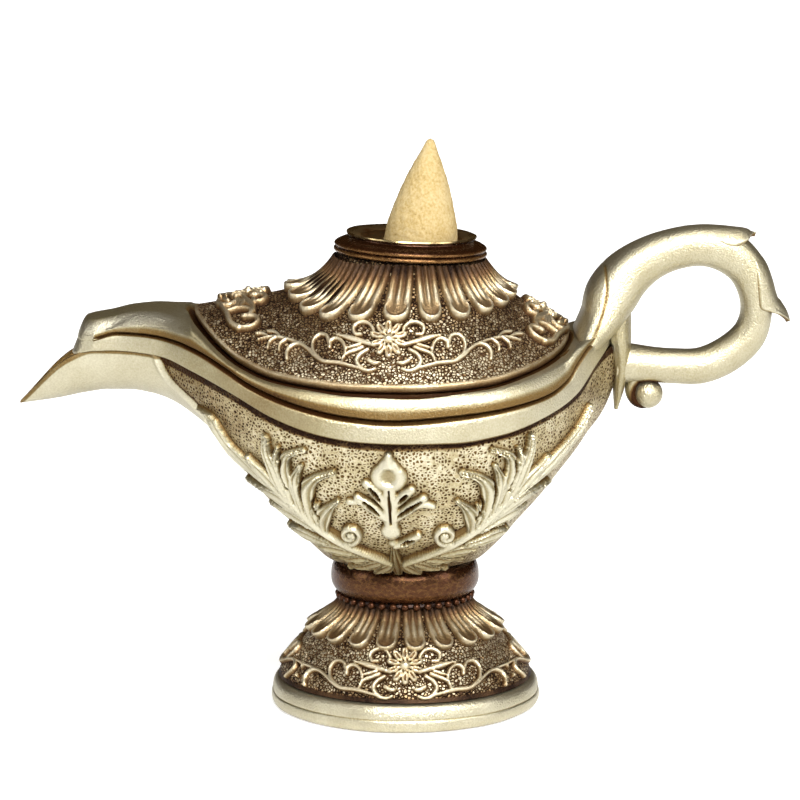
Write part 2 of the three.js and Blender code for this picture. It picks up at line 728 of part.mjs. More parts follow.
// The scroll at the arm's end, a horn that curls down round the ball
function scroll() {
  const steps = 7;
  const centre = ballCentre();
  const reach = BALL_RADIUS + GLUE_GAP + SCROLL_RADIUS;
  const normal = new THREE.Vector3(0, 1, 0);
  const stations = Array.from({ length: steps + 1 }, (_, i) => {
    const turn = mix(SCROLL_START, SCROLL_END, i / steps);
    const at = new THREE.Vector3(centre.x + reach * Math.cos(turn), 0, centre.z + reach * Math.sin(turn));
    if (i === 0) at.z = handlePoint(ARM_STATION).z;
    const thick = mix(SCROLL_RADIUS, SCROLL_RADIUS * 0.5, i / steps);
    return { at, normal, half: thick, high: ARM_STATION.half * SCROLL_DEPTH_SHARE };
  });
  return strand(stations);
}

// A leaf that sheathes the loop's outside and lifts off it at the tip
function loopLeaf({ from, to, tipLift, halfDepth }) {
  const steps = 6;
  const normal = new THREE.Vector3(0, 1, 0);
  const stations = Array.from({ length: steps + 1 }, (_, i) => {
    const share = i / steps;
    const place = mix(from, to, share);
    const along = handleCurve.getTangent(place);
    const outward = new THREE.Vector3(-along.z, 0, along.x);
    const clear = handleHalf(place) + GLUE_GAP + LEAF_THICKNESS / 2 + tipLift * share ** 3;
    const at = handleCurve.getPoint(place).addScaledVector(outward, clear);
    const taper = Math.sin(Math.PI * mix(0.12, 0.94, share));
    return { at, normal, half: LEAF_THICKNESS / 2 * mix(1, 0.45, share), high: halfDepth * taper };
  });
  return strand(stations);
}

// The leaf at the handle's root, which lies on the bowl and points down. It can be grown, to cut room for it.
function rootLeaf(grow = 0) {
  const steps = 4;
  const lift = GLUE_GAP + LEAF_THICKNESS / 2 + LEAF_CLEAR;
  const stations = Array.from({ length: steps + 1 }, (_, i) => {
    const share = i / steps;
    const place = mix(ROOT_LEAF.from, ROOT_LEAF.to, share);
    const at = lifted(bowlPoint, 0, place, lift + ROOT_LEAF.tipLift * share ** 2);
    const high = mix(ROOT_LEAF.halfDepth, ROOT_LEAF.tipHalfDepth, share) + grow;
    return { at, normal: new THREE.Vector3(0, 1, 0), half: LEAF_THICKNESS / 2 + grow, high };
  });
  return strand(stations);
}

// A strip of relief on a face. It runs through [degrees, share] points; angleOf gives the face's angle for degrees.
function ribbon(face, points, halfWidth, halfHeight, angleOf) {
  const steps = 4;
  const curve = new THREE.CatmullRomCurve3(points.map(([a, s]) => new THREE.Vector3(a, s, 0)));
  const lift = GLUE_GAP + halfHeight + RELIEF_CLEAR;
  const stations = Array.from({ length: steps + 1 }, (_, i) => {
    const along = i / steps;
    const spot = curve.getPoint(along);
    const angle = angleOf(THREE.MathUtils.degToRad(spot.x));
    const at = lifted(face, angle, spot.y, lift);
    const normal = at.clone().sub(lifted(face, angle, spot.y, 0)).normalize();
    const taper = Math.max(0.35, Math.sin(Math.PI * mix(0.3, 0.95, along)));
    return { at, normal, half: halfWidth * taper, high: halfHeight };
  });
  return strand(stations, 4);
}

// Relief that lies on the bowl. A frond turns with side and face: side is 1 towards the handle and -1 towards the
// spout, face is -1 on the front and 1 on the back.
function frond(points, halfWidth, side, face) {
  const angleOf = (fromMiddle) => face * (Math.PI / 2 - side * fromMiddle);
  return ribbon(bowlPoint, points, halfWidth, RELIEF_HALF_HEIGHT, angleOf);
}

// Acanthus spray: a stem from the bowl's foot to its side, and the leaves that curl off it
function acanthusSpray(side, face) {
  const stem = [[8, 0.06], [28, 0.2], [45, 0.42], [62, 0.72]];
  const leaves = [
    [[18, 0.14], [21, 0.3], [14, 0.36]],
    [[27, 0.2], [24, 0.4], [27, 0.52]],
    [[34, 0.28], [31, 0.5], [26, 0.64]],
    [[43, 0.4], [42, 0.6], [38, 0.74]],
    [[36, 0.3], [52, 0.36], [62, 0.44]],
    [[24, 0.18], [40, 0.2], [50, 0.25]],
  ];
  const pieces = leaves.map((points) => frond(points, LEAF_HALF_WIDTH, side, face));
  return joined([frond(stem, STEM_HALF_WIDTH, side, face), ...pieces]);
}

// Palmette: an upright tongue with two lobes on each side and a boss at its foot
function palmette(face) {
  const tongue = frond([[0, 0.28], [0, 0.55], [0, 0.84]], LEAF_HALF_WIDTH * 1.9, 1, face);
  const lobes = [-1, 1].flatMap((side) => [
    frond([[1, 0.42], [6, 0.5], [10, 0.6]], LEAF_HALF_WIDTH * 0.8, side, face),
    frond([[1, 0.36], [8, 0.42], [13, 0.44]], LEAF_HALF_WIDTH * 0.8, side, face),
  ]);
  const boss = frond([[-3, 0.26], [0, 0.27], [3, 0.26]], LEAF_HALF_WIDTH, 1, face);
  return joined([tongue, ...lobes, boss]);
}

// Scroll in low relief on a face: a flower between two vines, drawn in millimetres across and up from the flower.
// middle is the angle of the flower, centre its share, radius and length the face's size there.
function flowerScroll(face, { middle, centre, radius, length }) {
  const draw = (points, halfWidth, side) => {
    const onFace = points.map(([across, up]) => [THREE.MathUtils.radToDeg(across / radius), centre - up / length]);
    return ribbon(face, onFace, halfWidth, SCROLL_HALF_HEIGHT, (off) => middle + side * off);
  };
  const flower = draw([[-FLOWER_RADIUS, 0], [0, 0.1], [FLOWER_RADIUS, 0]], FLOWER_RADIUS, 1);
  const vines = [-1, 1].flatMap((side) => VINE_LINES.map((line) => draw(line, VINE_HALF_WIDTH, side)));
  return joined([flower, ...vines]);
}

// Lid: a shell with a throat through its crown, a flange inside the rim and an edge that rests on the rim
function lidShell() {
  const rings = 6;
  const flangeInner = grown(FLANGE_PLAN, -FLANGE_WIDTH);
  const rows = Array.from({ length: RIM_STEPS }, (_, i) => {
    const angle = (i / RIM_STEPS) * Math.PI * 2;
    const over = Array.from({ length: rings + 1 }, (_, k) => lidPoint(angle, k / rings));
    const [edgeX, edgeY] = planPoint(LID_PLAN, angle);
    const [innerX, innerY] = planPoint(flangeInner, angle);
    const within = (Math.hypot(innerX, innerY) - CROWN_RADIUS) / (Math.hypot(edgeX, edgeY) - CROWN_RADIUS);
    const under = Array.from({ length: rings }, (_, k) => {
      const point = lidPoint(angle, within * FLANGE_ROOT * (1 - k / (rings - 1)));
      return point.setZ(point.z - LID_WALL);
    });
    return [
      crownPoint(angle, THROAT_RADIUS),
      ...over,
      rimPoint(LID_PLAN, angle, seatRise + REST_GAP),
      rimPoint(FLANGE_PLAN, angle, seatRise + REST_GAP),
      rimPoint(FLANGE_PLAN, angle, seatRise - FLANGE_DEPTH),
      rimPoint(flangeInner, angle, seatRise - FLANGE_DEPTH),
      ...under,
      crownPoint(angle, THROAT_RADIUS, -LID_WALL),
    ];
  });
  return skin(rows, true);
}

// Collar, cup and cone, drawn on the crown's own axis with the crown at height 0
function collar() {
  const bore = CUP_WELL_RADIUS + CUP_WALL + CUP_PLAY;
  const step = COLLAR_HEIGHT / 8;
  const fillet = COLLAR_RADIUS - CROWN_RADIUS;
  return turned([
    [bore, GLUE_GAP],
    [CROWN_RADIUS, GLUE_GAP],
    [CROWN_RADIUS + fillet / 2, GLUE_GAP + step],
    [CROWN_RADIUS, GLUE_GAP + 2 * step],
    [COLLAR_RADIUS, GLUE_GAP + 3 * step],
    [COLLAR_RADIUS, GLUE_GAP + 4.6 * step],
    [COLLAR_RADIUS - fillet, GLUE_GAP + 5.4 * step],
    [COLLAR_NECK_RADIUS, GLUE_GAP + 6.4 * step],
    [COLLAR_NECK_RADIUS, GLUE_GAP + COLLAR_HEIGHT],
    [bore, GLUE_GAP + COLLAR_HEIGHT],
    [bore, GLUE_GAP],
  ]);
}

const cupRimBottom = GLUE_GAP + COLLAR_HEIGHT + REST_GAP;
const cupRimTop = cupRimBottom + CUP_WALL;
const cupFloor = cupRimTop - CUP_WELL_DEPTH;

function cup() {
  const wellOutside = CUP_WELL_RADIUS + CUP_WALL;
  const under = cupFloor - CUP_WALL;
  const bead = CUP_WALL / 2;
  return turned([
    [CUP_HOLE_RADIUS, under],
    [wellOutside, under],
    [wellOutside, cupRimBottom],
    [CUP_RIM_RADIUS, cupRimBottom],
    [CUP_RIM_RADIUS + bead, cupRimBottom + bead],
    [CUP_RIM_RADIUS, cupRimTop],
    [CUP_WELL_RADIUS, cupRimTop],
    [CUP_WELL_RADIUS, cupFloor],
    [CUP_HOLE_RADIUS, cupFloor],
    [CUP_HOLE_RADIUS, under],
  ]);
}

function incenseCone() {
  const steps = 3;
  const round = Array.from({ length: steps + 1 }, (_, i) => {
    const turn = (Math.PI / 2) * (i / steps);
    return [CONE_TIP_RADIUS * Math.cos(turn), CONE_HEIGHT - CONE_TIP_RADIUS * (1 - Math.sin(turn))];
  });
  round.at(-1)[0] = 0;
  return turned([
    [0, CONE_BORE_DEPTH],
    [CONE_BORE_RADIUS, CONE_BORE_DEPTH],
    [CONE_BORE_RADIUS, 0],
    [CONE_RADIUS, 0],
    ...round,
  ], 24);
}

// Finishes
const paleGold = new THREE.MeshStandardMaterial({ color: 0xc9bd86, roughness: 0.38, metalness: 0.75 });
const antiqueGold = new THREE.MeshStandardMaterial({ color: 0xa8915a, roughness: 0.45, metalness: 0.7 });
const bronze = new THREE.MeshStandardMaterial({ color: 0x5f3c26, roughness: 0.35, metalness: 0.6 });
const brass = new THREE.MeshStandardMaterial({ color: 0xb99a5b, roughness: 0.25, metalness: 1 });
const incense = new THREE.MeshStandardMaterial({ color: 0xd6bd80, roughness: 0.95, metalness: 0 });
const felt = new THREE.MeshStandardMaterial({ color: 0x3a2f28, roughness: 1, metalness: 0 });

function piece(name, geometry, material) {
  const mesh = new THREE.Mesh(geometry, material);
  mesh.name = name;
  return mesh;
}

const burner = new THREE.Group();
burner.add(
  piece('felt_pad', feltPad(), felt),
  piece('foot_plinth', plinth(), paleGold),
  piece('foot_skirt', skirt(), antiqueGold),
  piece('foot_petal_ring', petalRing(skirtPoint, SKIRT_PETAL_START, SKIRT_PETAL_REACH), antiqueGold),
  piece('bead_ring', beadRing(), bronze),
  piece('stem_knop', knop(), bronze),
  piece('bowl', bowl(), antiqueGold),
  piece('spout_trough', spoutTrough(), paleGold),
  piece('rim_band_lower', lowerBand(), paleGold),
  piece('rim_band_upper', upperBand(), paleGold),
  piece('handle_loop', handleLoop(), paleGold),
  piece('handle_ball', new THREE.SphereGeometry(BALL_RADIUS, 12, 8).translate(...ballCentre()), paleGold),
  piece('handle_thumb_leaf', loopLeaf(THUMB_LEAF), paleGold),
  piece('handle_spur_leaf', loopLeaf(SPUR_LEAF), paleGold),
  piece('handle_root_leaf', rootLeaf(), paleGold),
);
for (const [faceName, face] of [['front', -1], ['back', 1]]) {
  burner.add(piece(`palmette_${faceName}`, palmette(face), paleGold));
  for (const [sideName, side] of [['handle', 1], ['spout', -1]]) {
    burner.add(piece(`acanthus_${faceName}_${sideName}_side`, acanthusSpray(side, face), paleGold));
  }
}

for (let k = 0; k < SKIRT_SCROLLS; k += 1) {
  const middle = -Math.PI / 2 + (k * 2 * Math.PI) / SKIRT_SCROLLS;
  const radius = skirtRadius(SKIRT_SCROLL_SHARE);
  const length = skirtPoint(0, 0).distanceTo(skirtPoint(0, 1));
  const place = { middle, centre: SKIRT_SCROLL_SHARE, radius, length };
  burner.add(piece(`foot_scroll_${k + 1}`, flowerScroll(skirtPoint, place), antiqueGold));
}

const lid = new THREE.Group();
lid.add(
  piece('lid_shell', lidShell(), antiqueGold),
  piece('lid_petal_ring', petalRing(lidPoint, LID_PETAL_START, LID_PETAL_REACH), antiqueGold),
);
for (const [sideName, middle] of [['front', -0.5], ['handle', 0], ['back', 0.5], ['spout', 1]]) {
  const angle = middle * Math.PI;
  const radius = Math.hypot(...lidPoint(angle, LID_SCROLL_SHARE).toArray().slice(0, 2));
  const length = lidPoint(angle, 0).distanceTo(lidPoint(angle, 1));
  const place = { middle: angle, centre: LID_SCROLL_SHARE, radius, length };
  lid.add(piece(`lid_scroll_${sideName}`, flowerScroll(lidPoint, place), antiqueGold));
}
const crown = new THREE.Group();
crown.position.copy(crownOrigin());
crown.rotation.y = CROWN_LEAN;
const cone = piece('incense_cone', incenseCone(), incense);
cone.position.set(CONE_OFFSET, 0, cupFloor + REST_GAP);
crown.add(piece('lid_collar', collar(), bronze), piece('cone_cup', cup(), brass), cone);
lid.add(crown);
burner.add(lid);

export default burner;
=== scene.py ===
"""Looks of a backflow incense burner in the shape of an old oil lamp.

Sizes are millimetres in the frame of the solids: +Z up, the spout along -X, the handle along +X and the
front at -Y. Meshes are drawn in millimetres and scaled to metres when they become objects.
"""
from __future__ import annotations

import logging
import math
from abc import ABC, abstractmethod
from dataclasses import dataclass, field
from enum import Enum
from functools import partial
from typing import Any, Callable, Sequence

import bmesh
import bpy
import numpy as np
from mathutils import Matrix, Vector

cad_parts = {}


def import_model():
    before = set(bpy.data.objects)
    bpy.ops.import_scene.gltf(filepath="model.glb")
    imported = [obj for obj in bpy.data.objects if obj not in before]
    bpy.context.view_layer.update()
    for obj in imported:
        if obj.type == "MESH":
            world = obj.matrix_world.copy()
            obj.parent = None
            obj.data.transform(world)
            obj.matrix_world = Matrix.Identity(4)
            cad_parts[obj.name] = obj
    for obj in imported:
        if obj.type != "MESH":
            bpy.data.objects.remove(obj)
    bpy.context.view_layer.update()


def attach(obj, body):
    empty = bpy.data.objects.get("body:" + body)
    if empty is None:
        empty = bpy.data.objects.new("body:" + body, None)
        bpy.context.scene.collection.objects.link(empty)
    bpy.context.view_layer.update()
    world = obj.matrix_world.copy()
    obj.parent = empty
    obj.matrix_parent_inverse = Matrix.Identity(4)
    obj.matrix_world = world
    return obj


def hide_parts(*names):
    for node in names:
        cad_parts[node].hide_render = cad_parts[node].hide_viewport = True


log = logging.getLogger("incense_burner")

Array = np.ndarray
Points = Sequence[Sequence[float]]
Face = Callable[[Array, Array], Array]
Adder = Callable[..., Any]
Mover = Callable[[Array], Array]
Tone = Callable[[Array, Array], Array]
Part = tuple[Array, "Array | float", "Array | float"]
Strokes = tuple[tuple[Points, float, tuple[float, float]], ...]

MM = 0.001
WELD = 0.002  # points closer than this are one point
FRONT = -1
BACK = 1


class Body(Enum):
    """The bodies that come apart by hand."""

    LAMP = "lamp"
    LID = "lid"
    CUP = "cup"
    CONE = "cone"


class Slot(Enum):
    """The material slots of the record."""

    PALE_GOLD = "pale_gold"
    ANTIQUE_GOLD = "antique_gold"
    BRONZE = "bronze_brown"
    BRASS = "brass_cup"
    INCENSE = "incense"
    FELT = "felt"


class Ground(Enum):
    """How the ground between the ornament was worked in the model that the mould was taken from.

    Each holds two distances from the edge of a mark, as shares of the pitch, and how deep it is at each.
    """

    PUNCHED = (0.14, 0.29, 0.0, 1.0)
    GRAINED = (0.02, 0.22, 1.0, 0.0)


class Wrap(Enum):
    """Whether the last row and the last column of a grid meet the first."""

    OPEN = (False, False)
    ROWS = (True, False)
    COLUMNS = (False, True)
    BOTH = (True, True)


def hex_to_linear(code: str) -> tuple[float, float, float, float]:
    """Turn an sRGB hex colour into linear light.

    Args:
        code: Colour as "#rrggbb".

    Returns:
        Linear red, green and blue, and an alpha of 1.
    """
    channels = [int(code[i:i + 2], 16) / 255 for i in (1, 3, 5)]
    red, green, blue = (c / 12.92 if c <= 0.04045 else ((c + 0.055) / 1.055) ** 2.4 for c in channels)
    return red, green, blue, 1.0


def smoothstep(low: float, high: float, value: Array) -> Array:
    """Ease from 0 at low to 1 at high."""
    share = np.clip((value - low) / (high - low), 0.0, 1.0)
    return share * share * (3.0 - 2.0 * share)


def blend(a: Array | float, b: Array | float, share: Array | float) -> Array:
    """Mix two values by a share from 0 to 1."""
    return a + (b - a) * share


def unit(value: Array) -> Array:
    """Keep values between 0 and 1."""
    return np.clip(value, 0.0, 1.0)


def bell(value: Array, middle: float, width: float) -> Array:
    """A rounded peak of height 1."""
    return np.exp(-(((value - middle) / width) ** 2))


def xyz(*columns: Array | float) -> Array:
    """Set coordinates side by side as points."""
    return np.stack(np.broadcast_arrays(*columns), axis=-1)


def full_turn(steps: int) -> Array:
    """Angles of a full turn in even steps."""
    return np.linspace(0.0, math.tau, steps, endpoint=False)


def hermite(knots: Array, values: Array, tangents: Array, at: Array) -> Array:
    """Evaluate a cubic curve through knots.

    Args:
        knots: Rising places, one per value.
        values: What the curve passes through there, in rows.
        tangents: Slopes there, in rows.
        at: Places to evaluate.

    Returns:
        One row per place.
    """
    i = np.clip(np.searchsorted(knots, at, side="right") - 1, 0, len(knots) - 2)
    step = (knots[i + 1] - knots[i])[:, None]
    t = ((at - knots[i]) / step[:, 0])[:, None]
    rise = values[i + 1] - values[i]
    bend_a = tangents[i] * step - rise
    bend_b = rise - tangents[i + 1] * step
    return values[i] + t * rise + t * (1 - t) * ((1 - t) * bend_a + t * bend_b)


@dataclass(frozen=True)
class Graph:
    """A curve y(x) through a few points that never overshoots between them."""

    points: tuple[tuple[float, float], ...]

    def __call__(self, x: Array | float) -> Array:
        """Evaluate the curve.

        Args:
            x: Places, clamped to the curve's ends.

        Returns:
            The curve's values, in the shape of x.
        """
        xs, ys = np.array(sorted(self.points), dtype=float).T
        step = np.diff(xs)
        slope = np.diff(ys) / step
        before, after = slope[:-1], slope[1:]
        heavy = 2 * step[1:] + step[:-1]
        light = step[1:] + 2 * step[:-1]
        turning = before * after <= 0
        safe_before = np.where(turning, 1.0, before)
        safe_after = np.where(turning, 1.0, after)
        inner = np.where(turning, 0.0, (heavy + light) / (heavy / safe_before + light / safe_after))
        tangents = np.concatenate([slope[:1], inner, slope[-1:]])
        flat = np.clip(np.asarray(x, dtype=float).ravel(), xs[0], xs[-1])
        return hermite(xs, ys[:, None], tangents[:, None], flat)[:, 0].reshape(np.shape(x))


def smooth_path(points: Points, count: int, closed: bool = False) -> Array:
    """Draw a smooth line through points, with even steps.

    Args:
        points: Points whose first two columns give the distance; further columns run along smoothly.
        count: Number of points to return.
        closed: Whether the line returns to its first point, which is then not repeated.

    Returns:
        The line's points, count rows.
    """
    knots = np.asarray(points, dtype=float)
    pad = 3 if closed else 0
    if closed:
        knots = np.vstack([knots[-pad:], knots, knots[:pad + 1]])
    reach = np.linalg.norm(np.diff(knots[:, :2], axis=0), axis=1)
    along = np.concatenate([[0.0], np.cumsum(np.sqrt(reach))])
    tangents = np.gradient(knots, along, axis=0)
    last = len(knots) - 1 - pad
    fine = hermite(along, knots, tangents, np.linspace(along[pad], along[last], 30 * len(knots)))
    length = np.concatenate([[0.0], np.cumsum(np.linalg.norm(np.diff(fine[:, :2], axis=0), axis=1))])
    stops = np.linspace(0.0, length[-1], count, endpoint=not closed)
    return np.column_stack([np.interp(stops, length, column) for column in fine.T])


def raised(points: Array, height: Array | float, middle: Points, wrap: Wrap = Wrap.OPEN) -> Array:
    """Lift a grid off itself, away from a point inside.

    Args:
        points: Grid of shape (rows, columns, 3).
        height: How far each point goes, or all.
        middle: A point, or one for each point of the grid, that lies inside the body.
        wrap: How the grid closes.

    Returns:
        The lifted grid.
    """
    slopes = [
        np.roll(points, -1, axis) - np.roll(points, 1, axis) if closed else np.gradient(points, axis=axis)
        for axis, closed in enumerate(wrap.value)
    ]
    normal = np.cross(*slopes)
    normal /= np.maximum(np.linalg.norm(normal, axis=2, keepdims=True), 1e-12)
    if np.sum(normal * (points - np.asarray(middle))) < 0:
        normal = -normal
    return points + normal * np.asarray(height)[..., None]


def soften(values: Array, passes: int) -> Array:
    """Blur a grid of values with its neighbours."""
    for _ in range(passes):
        padded = np.pad(values, 1, mode="edge")
        sides = padded[:-2, 1:-1] + padded[2:, 1:-1] + padded[1:-1, :-2] + padded[1:-1, 2:]
        values = values / 2 + sides / 8
    return values


def hollows(lifted: Array, passes: int, share: float = 1.0) -> Array:
    """Find the hollows round a relief, where wash collects."""
    return unit(soften(lifted, passes) - share * lifted)


def distance_to(points: Points, x: Array, z: Array, reach: float) -> Array:
    """Distance of places to a smooth line, up to a reach.

    Args:
        points: The line's points in the same two directions.
        x: First coordinate of the places.
        z: Second coordinate of the places.
        reach: Distances beyond this are given as this.

    Returns:
        Distances in the shape of x.
    """
    line = smooth_path(points, 160)
    low = line.min(axis=0) - reach
    high = line.max(axis=0) + reach
    near = (x > low[0]) & (x < high[0]) & (z > low[1]) & (z < high[1])
    result = np.full(np.shape(x), reach)
    gap = np.hypot(x[near][:, None] - line[:, 0], z[near][:, None] - line[:, 1]).min(axis=1)
    result[near] = np.minimum(gap, reach)
    return result


@dataclass
class MeshDraft:
    """Points and faces of one piece in the making.

    Each point carries two values of the painter's: gilt runs from 0, brown wash, to 1, bare gold, and in
    places it also holds painted shade and painted highlights; stipple is the share of the worked ground
    that shows there.
    """

    points: list[Array] = field(default_factory=list)
    gilt: list[Array] = field(default_factory=list)
    stipple: list[Array] = field(default_factory=list)
    faces: list[list[int]] = field(default_factory=list)
    count: int = 0

    def grid(
        self,
        points: Array,
        gilt: Array | float = 0.8,
        stipple: Array | float = 0.0,
        wrap: Wrap = Wrap.OPEN,
        keep: Array | None = None,
    ) -> Array:
        """Add a grid of quads.

        Args:
            points: Grid of shape (rows, columns, 3).
            gilt: Gilt of each point, or of all.
            stipple: Stipple of each point, or of all.
            wrap: How the grid closes.
            keep: Which cells get a face, all if left out.

        Returns:
            Index of each point.
        """
        rows, columns = points.shape[:2]
        index = self.count + np.arange(rows * columns).reshape(rows, columns)
        self.count += rows * columns
        self.points.append(points.reshape(-1, 3))
        for store, values in ((self.gilt, gilt), (self.stipple, stipple)):
            store.append(np.broadcast_to(values, (rows, columns)).ravel())
        looped = np.pad(index, [(0, int(closed)) for closed in wrap.value], mode="wrap")
        quads = np.stack([looped[:-1, :-1], looped[1:, :-1], looped[1:, 1:], looped[:-1, 1:]], axis=-1)
        self.faces.extend((quads.reshape(-1, 4) if keep is None else quads[keep]).tolist())
        return index

    def beside(self, parts: Sequence[Part], wrap: Wrap) -> Array:
        """Add parts of one grid that lie side by side.

        Args:
            parts: Points, gilt and stipple of each part.
            wrap: How the whole grid closes.

        Returns:
            Index of each point.
        """
        points, *paints = zip(*parts)
        gilt, stipple = (
            np.concatenate([np.broadcast_to(p, grid.shape[:2]) for p, grid in zip(paint, points)], axis=1)
            for paint in paints
        )
        return self.grid(np.concatenate(points, axis=1), gilt, stipple, wrap)

    def ring(self, *parts: Part) -> MeshDraft:
        """Add parts side by side that close both ways, and give the draft."""
        self.beside(parts, Wrap.BOTH)
        return self

    def bar(self, *parts: Part) -> MeshDraft:
        """Add parts side by side whose columns run round a bar, with a face on each end.

        Args:
            *parts: Points, gilt and stipple of each part.

        Returns:
            The draft.
        """
        index = self.beside(parts, Wrap.COLUMNS)
        self.faces += [index[0].tolist(), index[-1].tolist()]
        return self

    def applied(self, face: Array, back: Array, keep: Array, gilt: Array) -> MeshDraft:
        """Add an applied ornament: a face, a back sunk into what carries it, and the walls between.

        Args:
            face: Grid of the face.
            back: Grid of the back.
            keep: Cells that belong to the ornament.
            gilt: Gilt of each point.

        Returns:
            The draft.
        """
        over = self.grid(face, gilt, keep=keep)
        under = self.grid(back, 0.0, keep=keep)
        padded = np.pad(keep, 1)
        along = padded[:-1, 1:-1] != padded[1:, 1:-1]
        across = padded[1:-1, :-1] != padded[1:-1, 1:]
        for edge, step in ((along, (0, 1)), (across, (1, 0))):
            i, j = np.nonzero(edge)
            far = (i + step[0], j + step[1])
            wall = np.stack([over[i, j], over[far], under[far], under[i, j]], axis=-1)
            self.faces.extend(wall.tolist())
        return self

    def build(self, name: str, crease: float = 38.0) -> bpy.types.Object:
        """Make the object.

        Args:
            name: Name of the object.
            crease: Edges that turn by more degrees than this stay sharp.

        Returns:
            The object, linked to the scene.
        """
        mesh = bpy.data.meshes.new(name)
        mesh.from_pydata((np.concatenate(self.points) * MM).tolist(), [], self.faces)
        for label, values in (("gilt", self.gilt), ("stipple", self.stipple)):
            layer = mesh.attributes.new(label, "FLOAT", "POINT")
            layer.data.foreach_set("value", np.concatenate(values).astype(np.float32))
        work = bmesh.new()
        work.from_mesh(mesh)
        bmesh.ops.remove_doubles(work, verts=work.verts, dist=WELD * MM)
        bmesh.ops.delete(work, geom=[v for v in work.verts if not v.link_faces], context="VERTS")
        bmesh.ops.recalc_face_normals(work, faces=work.faces)
        work.to_mesh(mesh)
        work.free()
        mesh.shade_smooth()
        mesh.set_sharp_from_angle(angle=math.radians(crease))
        piece = bpy.data.objects.new(name, mesh)
        bpy.context.collection.objects.link(piece)
        return piece


def add_node(
    tree: bpy.types.NodeTree,
    kind: str,
    inputs: dict[Any, Any] | None = None,
    stops: dict[float, str] | None = None,
    **settings: Any,
) -> Any:
    """Add one shader node with its settings and links.

    Args:
        tree: Node tree of a material or of the world.
        kind: Type of the node, without the ShaderNode before it.
        inputs: For each input, by name or number, its value, or the output or the node that it is linked to.
        stops: Colours of a ramp by their places.
        **settings: Properties of the node.

    Returns:
        The node.
    """
    node = tree.nodes.new(f"ShaderNode{kind}")
    for key, value in settings.items():
        setattr(node, key, value)
    for key, value in (inputs or {}).items():
        if isinstance(value, bpy.types.Node):
            value = next(output for output in value.outputs if output.enabled)
        if isinstance(value, bpy.types.NodeSocket):
            tree.links.new(value, node.inputs[key])
        else:
            node.inputs[key].default_value = value
    if stops:
        places = list(stops)
        ramp = node.color_ramp.elements
        for inner in places[1:-1]:
            ramp.new(inner)
        ramp[0].position, ramp[-1].position = places[0], places[-1]
        for stop, code in zip(ramp, stops.values()):
            stop.color = hex_to_linear(code)
    return node


def fresh_nodes(owner: bpy.types.Material | bpy.types.World) -> Adder:
    """Empty the nodes of a material or of the world.

    Args:
        owner: The material or the world.

    Returns:
        A function that adds nodes to it.
    """
    owner.use_nodes = True
    owner.node_tree.nodes.clear()
    return partial(add_node, owner.node_tree)


@dataclass(frozen=True)
class Finish(ABC):
    """A material and the slot of the record that it belongs to."""

    name: str
    slot: Slot

    def material(self) -> bpy.types.Material:
        """Give the material, made on first use.

        Returns:
            The Blender material.
        """
        known = bpy.data.materials.get(self.name)
        if known:
            return known
        material = bpy.data.materials.new(self.name)
        add = fresh_nodes(material)
        add("OutputMaterial", {"Surface": self.shader(add)})
        return material

    @abstractmethod
    def shader(self, add: Adder) -> Any:
        """Add the finish's nodes.

        Args:
            add: Adds a node to the material.

        Returns:
            The shader node.
        """

    @staticmethod
    def per_metre(size: float) -> float:
        """Texture scale for a pattern whose repeat is a size in millimetres."""
        return 1.0 / (size * MM)


